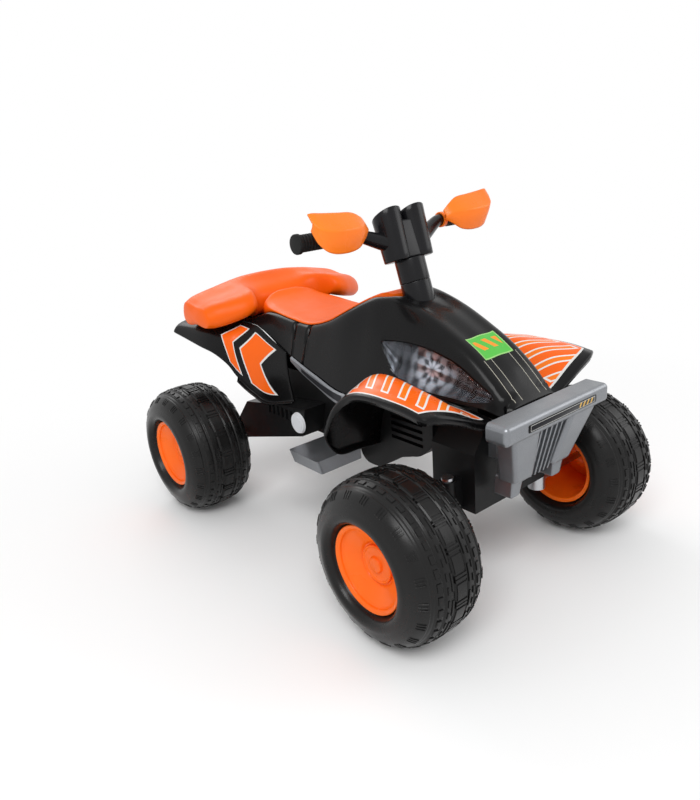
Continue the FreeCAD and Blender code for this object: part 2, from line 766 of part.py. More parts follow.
WHEELS = (
    ("front_right", -1, FRONT_AXLE),
    ("front_left", 1, FRONT_AXLE),
    ("rear_right", -1, REAR_AXLE),
    ("rear_left", 1, REAR_AXLE),
)


def set_wheel(body, side, axle_y):
    turn = Rotation(UP, 0 if side > 0 else 180)
    body.Placement = Placement(Vector(), turn)
    body.setExpression("Placement.Base.x", "%d * Sizes.track / 2" % side)
    body.setExpression("Placement.Base.y", axle_y)
    body.setExpression("Placement.Base.z", AXLE_Z)
    doc.recompute()


def tyre(label):
    body = new_body(label)
    half = "Sizes.tyre_width / 2"
    bead = "(Sizes.rim_width / 2 - Sizes.rim_flange - Sizes.seat_gap)"
    low = "(Sizes.rim_radius + Sizes.sidewall_foot)"
    high = "(%s + Sizes.sidewall_land)" % low
    foot = "(Sizes.rim_radius + 1)"
    rest = "(Sizes.rim_seat + Sizes.seat_gap)"
    edge = "(Sizes.tyre_radius - Sizes.crown_drop)"
    land = "Sizes.tread_land / 2"
    wall = "Sizes.tyre_wall"
    outside = [(bead, rest), (bead, foot, "Sizes.sidewall_round"), (half, low),
               (half, high, "Sizes.shoulder_round"), ("Sizes.tread_edge", edge, "Sizes.crown_round"),
               (land, "Sizes.tyre_radius")]
    back = [("-(%s)" % land, "Sizes.tyre_radius", "Sizes.crown_round"),
            ("-Sizes.tread_edge", edge, "Sizes.shoulder_round"), ("-(%s)" % half, high),
            ("-(%s)" % half, low, "Sizes.sidewall_round"), ("-" + bead, foot), ("-" + bead, rest)]
    core = [("%s - %s" % (bead, wall), rest), ("%s - %s" % (bead, wall), "%s + %s" % (foot, wall)),
            ("%s - %s" % (half, wall), low), ("%s - %s" % (half, wall), high),
            ("Sizes.tread_edge - %s / 2" % wall, "%s - 1.5 * %s" % (edge, wall)),
            (land, "Sizes.tyre_radius - 1.2 * " + wall)]
    inside = [("-(%s)" % x, y) for x, y in core] + core[::-1]
    section = new_sketch(body, "XY_Plane")
    outline(section, outside + back + inside)
    turned(body, "Revolution", section)
    grooves = new_sketch(body, "XY_Plane")
    for middle in ("-Sizes.outer_groove", "-Sizes.inner_groove", "Sizes.inner_groove", "Sizes.outer_groove"):
        rectangle(grooves, "%s - Sizes.groove_width / 2" % middle, "%s + Sizes.groove_width / 2" % middle,
                  "Sizes.tyre_radius - Sizes.groove_depth", "Sizes.tyre_radius + 1")
    turned(body, "Groove", grooves)
    return body


def rim(label):
    body = new_body(label)
    face = "Sizes.rim_width / 2"
    seat = "Sizes.rim_seat"
    inside = "(Sizes.rim_seat - Sizes.rim_wall)"
    inner = "(Sizes.rim_width / 2 - Sizes.rim_flange)"
    plate = "(Sizes.rim_width / 2 - Sizes.dish_depth)"
    back = "(%s - Sizes.rim_wall)" % plate
    cone = "(%s - Sizes.dish_edge)" % face
    tube_end = "Sizes.hub_step - " + face
    section = new_sketch(body, "XY_Plane")
    outline(section, [
        (face, "Sizes.rim_radius"), (inner, "Sizes.rim_radius"), (inner, seat), ("-" + inner, seat),
        ("-" + inner, "Sizes.rim_radius"), ("-(%s)" % face, "Sizes.rim_radius"), ("-(%s)" % face, inside),
        ("%s - 1.2 * Sizes.rim_wall" % cone, inside), (back, "Sizes.hub_plate - 1"),
        (back, "Sizes.hub_radius"), (tube_end, "Sizes.hub_radius"), (tube_end, FIT), (plate, FIT),
        (plate, "Sizes.hub_plate"), (cone, "%s + 1" % inside), (face, "Sizes.rim_radius - Sizes.rim_wall"),
    ])
    turned(body, "Revolution", section)
    return body


def hub_cap(label):
    """A moulded cap that closes the axle end and lies on the hub plate."""
    body = new_body(label)
    plate = "(Sizes.rim_width / 2 - Sizes.dish_depth + Sizes.seat_gap)"
    front = "(%s + Sizes.cap_height)" % plate
    face = "(%s + Sizes.cap_height * 0.4)" % plate
    ring = "(%s + Sizes.cap_height * 0.6)" % plate
    section = new_sketch(body, "XY_Plane")
    outline(section, [
        (plate, FIT), (plate, "Sizes.cap_flange"), (face, "Sizes.cap_flange"),
        (ring, "(Sizes.cap_flange + Sizes.cap_ring) / 2"), (face, "Sizes.cap_ring"),
        (face, "Sizes.cap_crown + Sizes.cap_wall"), (front, "Sizes.cap_crown"), (front, "0"),
        ("%s - Sizes.cap_wall" % front, "0"), ("%s - Sizes.cap_wall" % front, FIT),
    ])
    turned(body, "Revolution", section)
    return body


for place, side, axle_y in WHEELS:
    tyre_body = keep(tyre("tyre_" + place))
    set_wheel(tyre_body, side, axle_y)
    rim_body = keep(rim("rim_" + place))
    set_wheel(rim_body, side, axle_y)
    cap_body = keep(hub_cap("hub_cap_" + place))
    set_wheel(cap_body, side, axle_y)

wheel_x = val("Sizes.track / 2")
axle_end = wheel_x + val("Sizes.rim_width / 2 - Sizes.dish_depth + Sizes.cap_height - Sizes.cap_wall")
hub_inner = wheel_x - val("Sizes.rim_width / 2 - Sizes.hub_step + Sizes.seat_gap")
collar_start = hub_inner - val("Sizes.collar_width")


def rear_axle_shaft():
    ends = [Vector(side * axle_end, rear_axle, axle_z) for side in (-1, 1)]
    pieces = [rod("axle_bar", "Sizes.axle_radius", ends[0], ends[1])]
    for side in (-1, 1):
        near = Vector(side * collar_start, rear_axle, axle_z)
        far = Vector(side * hub_inner, rear_axle, axle_z)
        pieces.append(rod("axle_collar", "Sizes.collar_radius", near, far))
    return joined("rear_axle", pieces)


keep(rear_axle_shaft())


# Steering knuckles, kingpins and tie rod

pin_y = front_axle + val("Sizes.knuckle_arm")
arm_bottom = axle_z + val("Sizes.arm_above_axle")
rod_bottom = arm_bottom + val("Sizes.arm_thickness") + gap
rod_top = rod_bottom + val("Sizes.rod_thickness")
tube_bottom = axle_z + val("Sizes.tube_bottom_above_axle")
tube_top = tube_bottom + val("Sizes.tube_height")
barrel_bottom = axle_z - val("Sizes.knuckle_drop")
barrel_top = tube_bottom - gap


def knuckle():
    x = -kingpin_x
    foot = Vector(x, front_axle, barrel_bottom)
    barrel = rod("knuckle_barrel", "Sizes.knuckle_radius", foot, Vector(x, front_axle, barrel_top))
    stub = rod("knuckle_stub", "Sizes.axle_radius", Vector(x, front_axle, axle_z),
               Vector(-axle_end, front_axle, axle_z))
    neck = rod("knuckle_neck", "Sizes.collar_radius", Vector(x, front_axle, axle_z),
               Vector(-hub_inner, front_axle, axle_z))
    half = "Sizes.arm_width / 2"
    arm = block("knuckle_arm", ("-Sizes.kingpin_x - " + half, "-Sizes.kingpin_x + " + half),
                (FRONT_AXLE, "%s + Sizes.knuckle_arm" % FRONT_AXLE),
                (str(arm_bottom), "%s + Sizes.arm_thickness" % arm_bottom))
    eye = rod("knuckle_eye", half, Vector(x, pin_y, arm_bottom),
              Vector(x, pin_y, arm_bottom + val("Sizes.arm_thickness")))
    pin = rod("knuckle_pin", "Sizes.pin_radius", Vector(x, pin_y, arm_bottom), Vector(x, pin_y, rod_top + 4))
    whole = joined("knuckle_body", [barrel, stub, neck, arm, eye, pin])
    socket = rod("knuckle_socket", "Sizes.axle_radius", foot + UP * 8, Vector(x, front_axle, barrel_top + 5))
    return less("steering_knuckle_right", whole, [socket])


keep(knuckle())
keep(mirrored("steering_knuckle_left", nodes[-1]))


def kingpin():
    foot = Vector(-kingpin_x, front_axle, barrel_bottom + 8)
    head = Vector(-kingpin_x, front_axle, tube_top + gap)
    shank = rod("kingpin_shank", "Sizes.axle_radius", foot, head)
    cap = rod("kingpin_cap", "Sizes.kingpin_head", head, head + UP * val("Sizes.kingpin_head_height"))
    return joined("kingpin_right", [shank, cap])


keep(kingpin())
keep(mirrored("kingpin_left", nodes[-1]))

crank_reach = val("Sizes.crank_radius + Sizes.pin_radius + Sizes.eye_wall")
lean = math.radians(val("Sizes.column_lean"))
crank_bottom = rod_top + val("Sizes.crank_gap") + crank_reach * math.sin(lean)
crank_level = (crank_bottom - steering_foot.z) / math.cos(lean)
crank_pin_top = steering.multVec(Vector(0, val("Sizes.crank_radius"), crank_level))
shaft_way = steering.Rotation.multVec(UP)
slot_y = (crank_pin_top + shaft_way * ((rod_bottom + rod_top) / 2 - crank_pin_top.z) * (1 / shaft_way.z)).y


def tie_rod():
    body = new_body("tie_rod")
    plan = new_sketch(body, "XY_Plane", rod_bottom)
    half = "Sizes.rod_width / 2"
    tongue = "Sizes.tongue_width / 2"
    pin = "(%s + Sizes.knuckle_arm)" % FRONT_AXLE
    tip = "(%s + Sizes.crank_slot_length / 2 + Sizes.tongue_tip)" % slot_y
    near = "%s + %s" % (pin, half)
    flare = "Sizes.tongue_flare"
    outline(plan, [
        ("-Sizes.kingpin_x", "%s - %s" % (pin, half)),
        ("Sizes.kingpin_x", "%s - %s" % (pin, half), half + " + 0.01"),
        ("Sizes.kingpin_x", near), ("%s + %s" % (tongue, flare), near),
        (tongue, "%s + %s" % (near, flare)), (tongue, tip), ("-" + tongue, tip),
        ("-" + tongue, "%s + %s" % (near, flare)), ("-%s - %s" % (tongue, flare), near),
        ("-Sizes.kingpin_x", near, half + " + 0.01"),
    ])
    feature(body, "Pad", plan, "Sizes.rod_thickness")
    holes = new_sketch(body, "XY_Plane", rod_bottom)
    for side in ("-Sizes.kingpin_x", "Sizes.kingpin_x"):
        circle(holes, side, pin, "Sizes.pin_radius + Sizes.running_clearance")
    width = "Sizes.crank_slot_width / 2"
    reach = "Sizes.crank_slot_length / 2"
    rectangle(holes, "-" + width, width, "%s - %s - 2" % (slot_y, reach), "%s + %s - 2" % (slot_y, reach))
    feature(body, "Pocket", holes, "Sizes.rod_thickness", True)
    return body


keep(tie_rod())


# Steering column, in a frame whose Z axis is the leaning steering axis

def along_column(x, y, z):
    return Vector(val(x), val(y), val(z))


def steering_shaft():
    crank = "Sizes.crank_radius"
    foot = str(crank_level)
    top = "%s + Sizes.crank_thickness" % foot
    eye_radius = "Sizes.pin_radius + Sizes.eye_wall"
    shaft = rod("shaft_bar", "Sizes.shaft_radius", along_column(0, 0, foot),
                along_column(0, 0, "Sizes.column_top"), steering)
    web = block("shaft_crank", ("-(%s)" % eye_radius, eye_radius), ("0", crank), (foot, top), steering)
    eye = rod("shaft_eye", eye_radius, along_column(0, crank, foot), along_column(0, crank, top), steering)
    boss = rod("shaft_boss", "Sizes.shaft_radius + Sizes.eye_wall", along_column(0, 0, foot),
               along_column(0, 0, top), steering)
    drop = (crank_pin_top.z - rod_bottom) / shaft_way.z + val("Sizes.crank_thickness") / 2
    pin = rod("shaft_pin", "Sizes.pin_radius", along_column(0, crank, crank_level - drop),
              along_column(0, crank, crank_level), steering)
    return joined("steering_shaft", [shaft, web, eye, boss, pin])


keep(steering_shaft())

LOWER_BUSH = -258


def steering_bushes():
    """Plain bushes, one in the column collar and one in the neck of the chassis."""
    made = []
    for name, start in (("upper", val("Sizes.column_collar - Sizes.bush_length")), ("lower", LOWER_BUSH)):
        foot = Vector(0, 0, start)
        head = foot + UP * val("Sizes.bush_length")
        sleeve = rod("bush_" + name, "Sizes.bush_radius", foot, head, steering)
        hole = rod("bush_bore_" + name, "Sizes.shaft_radius + Sizes.running_clearance", foot - UP, head + UP,
                   steering)
        made.append(less("bush_sleeve_" + name, sleeve, [hole]))
    pair = doc.addObject("Part::Compound", "steering_bushes")
    pair.Links = made
    pair.Label = "steering_bushes"
    doc.recompute()
    return pair


keep(steering_bushes())


def column_cover():
    foot = along_column(0, 0, "Sizes.column_collar + Sizes.seat_gap")
    tube = rod("cover_tube", "Sizes.column_radius", foot, along_column(0, 0, "Sizes.column_top"), steering)
    bore = rod("cover_bore", "Sizes.shaft_radius", along_column(0, 0, 0),
               along_column(0, 0, "Sizes.column_top + 1"), steering)
    return less("column_cover", tube, [bore])


keep(column_cover())


def pod_top(side):
    """The frame of a pod's slanted top, on the pod's own axis."""
    middle = along_column("%d * Sizes.pod_x" % side, 0, "Sizes.column_top + Sizes.pod_height")
    return steering.multiply(Placement(middle, Rotation(ACROSS, -val("Sizes.pod_slant"))))


def handlebar():
    pieces = []
    tools = []
    foot = "Sizes.column_top"
    head = "Sizes.column_top + Sizes.pod_height"
    wide = "Sizes.pod_top * 2"
    for side in (-1, 1):
        x = "%d * Sizes.pod_x" % side
        pieces.append(rod("pod", "Sizes.pod_foot", along_column(x, 0, foot),
                          along_column(x, 0, head + " + Sizes.pod_top / 2"), steering, "Sizes.pod_top"))
        root = along_column("%d * Sizes.bar_root_x" % side, 0, "Sizes.bar_root_rise")
        bend = along_column("%d * Sizes.bar_bend_x" % side, "Sizes.bar_back", "Sizes.bar_rise")
        end = along_column("%d * Sizes.bar_end_x" % side, "Sizes.bar_back", "Sizes.bar_rise")
        pieces.append(rod("bar_arm", "Sizes.bar_root_radius", root, bend, steering, "Sizes.bar_radius"))
        knee = doc.addObject("Part::Sphere", "bar_knee")
        knee.setExpression("Radius", "Sizes.bar_radius")
        knee.Placement = steering.multiply(Placement(bend, Rotation()))
        pieces.append(knee)
        pieces.append(rod("bar_tube", "Sizes.bar_radius", bend, end, steering))
        tools.append(block("pod_cut", ("-" + wide, wide), ("-" + wide, wide), ("0", wide), pod_top(side)))
        tools.append(rod("gauge_recess", "Sizes.gauge_radius", Vector(0, 0, -val("Sizes.gauge_depth")), UP,
                         pod_top(side)))
    pieces.append(block("pod_bridge", ("-Sizes.pod_x", "Sizes.pod_x"),
                        ("-Sizes.bridge_front", "Sizes.pod_foot"),
                        (foot, foot + " + Sizes.bridge_height"), steering))
    button_seat = along_column("-Sizes.button_x", "Sizes.bar_back", "Sizes.bar_rise")
    pieces.append(rod("button_seat", "Sizes.button_radius + Sizes.button_wall", button_seat,
                      button_seat + ALONG * val("Sizes.bar_radius + Sizes.button_wall * 2"), steering))
    whole = joined("handlebar_body", pieces)
    deep = button_seat + ALONG * val("Sizes.bar_radius - 1")
    tools.append(rod("button_bore", "Sizes.button_radius + Sizes.button_play", deep,
                     button_seat + ALONG * val("Sizes.bar_radius * 3"), steering))
    half = "Sizes.switch_width / 2"
    back = "Sizes.pod_foot"
    rise = "Sizes.column_top + Sizes.switch_rise"
    tools.append(block("switch_recess", ("-" + half, half), (back + " - Sizes.switch_depth", back + " + 1"),
                       (rise + " - Sizes.switch_height / 2", rise + " + Sizes.switch_height / 2"), steering))
    return less("handlebar", whole, tools)


keep(handlebar())


def gauge(label, side):
    seat = Vector(0, 0, -val("Sizes.gauge_depth"))
    face = Vector(0, 0, -val("Sizes.gauge_depth / 4"))
    return rod(label, "Sizes.gauge_radius - Sizes.button_play", seat, face, pod_top(side))


keep(gauge("gauge_right", -1))
keep(gauge("gauge_left", 1))


def grip(label, side):
    bend = along_column("%d * (Sizes.bar_bend_x + 14)" % side, "Sizes.bar_back", "Sizes.bar_rise")
    lip = along_column("%d * (Sizes.bar_end_x - 4)" % side, "Sizes.bar_back", "Sizes.bar_rise")
    end = along_column("%d * (Sizes.bar_end_x + 4)" % side, "Sizes.bar_back", "Sizes.bar_rise")
    sleeve = rod(label + "_sleeve", "Sizes.grip_radius", bend, end, steering)
    flange = rod(label + "_flange", "Sizes.grip_end_radius", lip, end, steering)
    core = rod(label + "_core", "Sizes.bar_radius", bend - (end - bend) * 0.1,
               along_column("%d * Sizes.bar_end_x" % side, "Sizes.bar_back", "Sizes.bar_rise"), steering)
    return less(label, joined(label + "_outside", [sleeve, flange]), [core])


keep(grip("grip_right", -1))
keep(grip("grip_left", 1))

# Hand guards: at each half width the lower edge, crease and upper edge, as (forward, along the column)
GUARD = (
    (100, (20, 122), (23, 131), (20, 140)),
    (112, (24, 112), (33, 131), (26, 150)),
    (132, (26, 98), (42, 130), (28, 160)),
    (165, (27, 93), (47, 129), (30, 163)),
    (198, (26, 99), (46, 131), (30, 166)),
    (216, (24, 118), (42, 138), (30, 168)),
    (224, (24, 140), (34, 152), (28, 168)),
)
GUARD_WALL = 3
GUARD_SECTIONS = 12


def hand_guard():
    sections = []
    rows = [(row[0],) + sum(row[1:], ()) for row in GUARD]
    for x in evenly(rows, GUARD_SECTIONS):
        n = smooth(rows, x)
        outer = [Vector(-x, -forward, up) for forward, up in zip(n[::2], n[1::2])]
        sections.append((outer, [p + Vector(0, GUARD_WALL, 0) for p in outer]))
    shield = loft(sections)
    radius = val("Sizes.bar_radius")
    width = val("Sizes.guard_clamp")
    middle = "-Sizes.bar_bend_x - Sizes.guard_clamp * 5 / 6"
    centre = along_column(middle, "Sizes.bar_back", "Sizes.bar_rise")
    lug = Part.makeBox(width - 1, 43, width + 1, centre + Vector(0.5 - width / 2, -45, -width / 2))
    ring = radius + val("Sizes.guard_clamp_wall")
    clamp = Part.makeCylinder(ring, width, centre - ACROSS * width / 2, ACROSS)
    tube = Part.makeCylinder(radius, 6 * width, centre - ACROSS * 3 * width, ACROSS)
    whole = shield.fuse(lug).fuse(clamp).cut(tube)
    whole.Placement = steering.multiply(whole.Placement)
    return whole


keep(shaped("hand_guard_right", hand_guard()))
keep(mirrored("hand_guard_left", nodes[-1]))


def throttle_button():
    seat = along_column("-Sizes.button_x", "Sizes.bar_back + Sizes.bar_radius + 2", "Sizes.bar_rise")
    reach = ALONG * val("Sizes.button_wall + Sizes.button_travel + 2")
    return rod("throttle_button", "Sizes.button_radius", seat, seat + reach, steering)


keep(throttle_button())


def direction_switch():
    """A rocker between the pods, facing the rider."""
    middle = along_column(0, "Sizes.pod_foot - 1", "Sizes.column_top + Sizes.switch_rise")
    half = val("Sizes.switch_width / 2 - Sizes.button_play")
    tall = val("Sizes.switch_height / 2") - 1.5
    back = 1 - val("Sizes.switch_depth") + 4
    profile = [(back, -tall), (back, tall), (1, tall), (3, tall - 2), (0.5, 0), (3, 2 - tall), (1, -tall)]
    loop = Part.makePolygon([middle + Vector(-half, y, z) for y, z in profile + profile[:1]])
    rocker = Part.Face(loop).extrude(ACROSS * 2 * half)
    rocker.Placement = steering.multiply(rocker.Placement)
    return shaped("direction_switch", rocker)


keep(direction_switch())


# Chassis. Stations along the seat place the footrests and the front of the rear arms.
STEP_PLACES = (44, 143)
ARM_PLACE = 154


def chassis_tub():
    body = new_body("chassis_tub_body")
    half = "Sizes.tub_half_width"
    front = "(%s + Sizes.tub_front)" % FRONT_AXLE
    rear = "(%s - Sizes.tub_rear)" % REAR_AXLE
    floor = "(Sizes.tyre_radius + Sizes.tub_floor_above_axle)"
    top = "(Sizes.tyre_radius + Sizes.tub_top_above_axle)"
    plan = new_sketch(body, "XY_Plane", floor)
    rectangle(plan, "-" + half, half, front, rear)
    feature(body, "Pad", plan, "%s - %s" % (top, floor))
    neck = new_sketch(body, "XY_Plane", "Sizes.tyre_radius + Sizes.beam_bottom_above_axle")
    rectangle(neck, "-Sizes.beam_half_width", "Sizes.beam_half_width",
              "%s + Sizes.bracket_rear" % FRONT_AXLE, "%s + 1" % front)
    feature(body, "Pad", neck, "Sizes.tub_top_above_axle - Sizes.beam_bottom_above_axle")
    wall = "Sizes.tub_wall"
    hollow = new_sketch(body, "XY_Plane", top)
    rectangle(hollow, "-%s + %s" % (half, wall), "%s - %s" % (half, wall), "%s + %s" % (front, wall),
              "%s - %s" % (rear, wall))
    feature(body, "Pocket", hollow, "%s - %s - %s" % (top, floor, wall))
    behind = "%s + Sizes.battery_front + Sizes.battery_width + Sizes.tub_rib_gap" % FRONT_AXLE
    for y in (behind, "%s - Sizes.tub_rib_rear" % REAR_AXLE):
        rib = new_sketch(body, "XY_Plane", "%s + %s" % (floor, wall))
        rectangle(rib, "-Sizes.tub_rib / 2", "Sizes.tub_rib / 2", y, "%s + %s" % (y, wall))
        ceiling = min(body_top(val(y), 0), body_top(val("%s + %s" % (y, wall)), 0)) - 1.1 * panel - gap
        height = ceiling - val("%s + %s" % (floor, wall))
        feature(body, "Pad", rib, height)
    return body


tub = chassis_tub()
lower_bush_seat = rod("neck_bore", "Sizes.bush_radius", Vector(0, 0, LOWER_BUSH - 60),
                      Vector(0, 0, LOWER_BUSH + 90), steering)
keep(less("chassis_tub", tub, [lower_bush_seat]))


def front_bracket():
    body = new_body("front_bracket_body")
    half = "Sizes.bracket_half_width"
    top = "(Sizes.tyre_radius + Sizes.tub_top_above_axle)"
    low = "(Sizes.tyre_radius + Sizes.bracket_bottom_above_axle)"
    front = "(%s - Sizes.bracket_front)" % FRONT_AXLE
    rear = "(%s + Sizes.bracket_rear)" % FRONT_AXLE
    face = new_sketch(body, "XZ_Plane", "-%s" % rear)
    flat = "(%s - Sizes.bracket_shoulder)" % half
    slope = "(%s - Sizes.bracket_slope)" % top
    outline(face, [("-" + half, low), (half, low), (half, slope), (flat, top), ("-" + flat, top),
                   ("-" + half, slope)])
    feature(body, "Pad", face, "%s - %s" % (rear, front))
    wall = "Sizes.tub_wall"
    side_wall = "(%s - %s)" % (half, wall)
    for x0, x1 in (("-" + side_wall, "-Sizes.tub_wall / 2"), ("Sizes.tub_wall / 2", side_wall)):
        hollow = new_sketch(body, "XY_Plane", low)
        rectangle(hollow, x0, x1, "%s + %s" % (front, wall), "%s - %s" % (rear, wall))
        feature(body, "Pocket", hollow, "%s - %s - Sizes.bracket_roof" % (top, low), True)
    pieces = [body]
    tools = []
    for side in (-1, 1):
        base = Vector(side * kingpin_x, front_axle, tube_bottom)
        head = Vector(side * kingpin_x, front_axle, tube_top)
        pieces.append(rod("kingpin_tube", "Sizes.kingpin_tube", base, head))
        inner = "%d * (Sizes.bracket_half_width - Sizes.tub_wall / 2)" % side
        outer = "%d * Sizes.kingpin_x" % side
        pieces.append(block("tube_web", (min(inner, outer, key=val), max(inner, outer, key=val)),
                            ("%s - Sizes.tube_web / 2" % FRONT_AXLE, "%s + Sizes.tube_web / 2" % FRONT_AXLE),
                            ("%s + %s" % (tube_bottom, wall), "%s - %s" % (tube_top, wall))))
        tools.append(rod("kingpin_bore", FIT, base - UP, head + UP))
    post_y = "(%s + Sizes.nose_post_y)" % FRONT_AXLE
    post_top = body_top(val(post_y), val("Sizes.nose_post / 2")) - 1.15 * panel - gap
    pieces.append(block("nose_post", ("-Sizes.nose_post / 2", "Sizes.nose_post / 2"),
                        (post_y, "%s + %s" % (post_y, wall)), ("%s - 1" % top, post_top)))
    return less("front_bracket", joined("front_bracket_whole", pieces), tools)


keep(front_bracket())


def footrest():
    """A foot plate against the side of the tub, hollow below, whose outer side leans in at its foot."""
    body = new_body("footrest_right")
    inner = "(Sizes.tub_half_width + Sizes.seat_gap)"
    top = "(Sizes.tyre_radius + Sizes.tub_floor_above_axle + Sizes.step_rise)"
    low = "(%s - Sizes.step_thickness)" % top
    front, rear = ["(%s)" % station_y("seat", place) for place in STEP_PLACES]
    wall = "Sizes.step_wall"
    foot = "Sizes.step_outer - Sizes.step_slant"
    face = new_sketch(body, "XZ_Plane", "-%s" % rear)
    outline(face, [("-(%s)" % foot, low), ("-" + inner, low), ("-" + inner, top),
                   ("-Sizes.step_outer", top)])
    feature(body, "Pad", face, "%s - %s" % (rear, front))
    rounded(body, "Sizes.step_round",
            lambda edge: edge.BoundBox.XMax < -val(foot) + 1 and edge.BoundBox.ZLength > 1)
    hollow = new_sketch(body, "XY_Plane", low)
    rectangle(hollow, "-(%s) + %s" % (foot, wall), "-%s - %s" % (inner, wall), "%s + %s" % (front, wall),
              "%s - %s" % (rear, wall))
    feature(body, "Pocket", hollow, "Sizes.step_thickness - " + wall, True)
    return body


keep(footrest())
keep(mirrored("footrest_left", nodes[-1]))


# Engine cover: (behind the front axle, above the axle) and the radius of an arc that leaves the point
ENGINE = (
    (180, 182), (195, 152), (208, 100), (208, 88), (252, 84, -30), (270, 62, -30), (246, 36, -90), (205, 40),
    (147, 77), (114, 88, -60), (79, 108, -40), (62.4, 132), (62.4, 182),
)
FINS = 5


def engine_cover():
    """The dummy engine beside the neck: crankcase lobes below and cooling fins above."""
    body = new_body("engine_cover_right")
    inner = "(Sizes.beam_half_width + Sizes.seat_gap)"
    face = new_sketch(body, "YZ_Plane", "-Sizes.engine_outer")
    outline(face, [("%s + %s" % (FRONT_AXLE, row[0]), "Sizes.tyre_radius + %s" % row[1]) + row[2:]
                   for row in ENGINE])
    feature(body, "Pad", face, "Sizes.engine_outer - " + inner)
    beside = new_sketch(body, "YZ_Plane", "-" + inner)
    start = "(%s + Sizes.tub_front - Sizes.seat_gap)" % FRONT_AXLE
    rectangle(beside, start, start + " + Sizes.engine_tail", AXLE_Z, AXLE_Z + " + Sizes.tub_top_above_axle")
    feature(body, "Pocket", beside, "Sizes.tub_half_width + Sizes.seat_gap - " + inner)
    fins = new_sketch(body, "YZ_Plane", "-Sizes.engine_outer")
    for number in range(FINS):
        low = "Sizes.tyre_radius + Sizes.fin_start + %d * Sizes.fin_pitch" % number
        rectangle(fins, "%s + Sizes.fin_front" % FRONT_AXLE, "%s + Sizes.fin_rear" % FRONT_AXLE, low,
                  low + " + Sizes.fin_pitch / 2")
    feature(body, "Pocket", fins, "Sizes.fin_depth", True)
    return body


keep(engine_cover())
keep(mirrored("engine_cover_left", nodes[-1]))


BELLOWS = 6
arm_front = station_y("seat", ARM_PLACE)


def rear_arm():
    """The casing that carries the rear axle, with bellows ribs on its face."""
    body = new_body("rear_arm_right_body")
    face = new_sketch(body, "YZ_Plane", "-Sizes.arm_outer")
    boss = "Sizes.arm_boss"
    outline(face, [
        (arm_front, "Sizes.tyre_radius + 128"),
        (arm_front + 18, "Sizes.tyre_radius + 62"),
        ("%s - 40" % REAR_AXLE, "Sizes.tyre_radius - 6"),
        (REAR_AXLE, "Sizes.tyre_radius - " + boss, boss + " + 0.01"),
        (REAR_AXLE, "Sizes.tyre_radius + " + boss),
        ("%s - 60" % REAR_AXLE, "Sizes.tyre_radius + 92"),
        ("%s - 150" % REAR_AXLE, "Sizes.tyre_radius + 108"),
    ])
    feature(body, "Pad", face, "Sizes.arm_outer - Sizes.tub_half_width - Sizes.seat_gap")
    ribs = new_sketch(body, "YZ_Plane", "-Sizes.arm_outer")
    low = "Sizes.tyre_radius + Sizes.bellows_above_axle"
    for number in range(BELLOWS):
        start = "%s + Sizes.bellows_start + %d * Sizes.bellows_pitch" % (arm_front, number)
        rectangle(ribs, start, start + " + Sizes.bellows_pitch / 2", low, low + " + Sizes.bellows_height")
    feature(body, "Pocket", ribs, "Sizes.bellows_depth", True)
    bore = rod("arm_bore", FIT, Vector(-val("Sizes.arm_outer") - 5, rear_axle, axle_z),
               Vector(0, rear_axle, axle_z))
    return less("rear_arm_right", body, [bore])


keep(rear_arm())
keep(mirrored("rear_arm_left", nodes[-1]))


def arm_cap():
    seat = point("-Sizes.arm_outer - Sizes.seat_gap", "%s + Sizes.cap_y" % arm_front,
                 "Sizes.tyre_radius + Sizes.cap_above_axle")
    way = Vector(-val("Sizes.cap_thickness"), 0, 0)
    dome = rod("cap_dome", "Sizes.cap_radius", seat, seat + way, GROUND, "Sizes.cap_radius - 2")
    return joined("arm_cap_right", [dome, rod("cap_boss", "Sizes.cap_radius - 8", seat, seat + way * 1.2)])


keep(arm_cap())
keep(mirrored("arm_cap_left", nodes[-1]))


# Bumper lobes: height above the axle, inner and outer half width, and the front ahead of the front axle
BUMPER_LOBE = (
    (206, 44, 122, 136),
    (93, 26, 76, 106),
)
POST = (
    (100, 42, 74, 98),
    (60, 46, 70, 92),
)


def prism(rows, depth, grow=0):
    """A right-hand block between a higher and a lower section, grown on every side but the back."""
    loops = []
    for (height, inner, outer, ahead), way in zip(rows, (1, -1)):
        y = front_axle - ahead - grow
        z = axle_z + height + way * grow
        x = (-outer - grow, -inner + grow)
        corners = [(x[0], y), (x[1], y), (x[1], y + depth), (x[0], y + depth)]
        loops.append(Part.makePolygon([Vector(a, b, z) for a, b in corners + corners[:1]]))
    return Part.makeLoft(loops, True, True)


def softened(solid, radius):
    """Rounds every edge in front of a solid's back."""
    back = solid.BoundBox.YMax
    edges = [edge for edge in solid.Edges if edge.BoundBox.YMin < back - radius * 2]
    return solid.makeFillet(radius, edges)


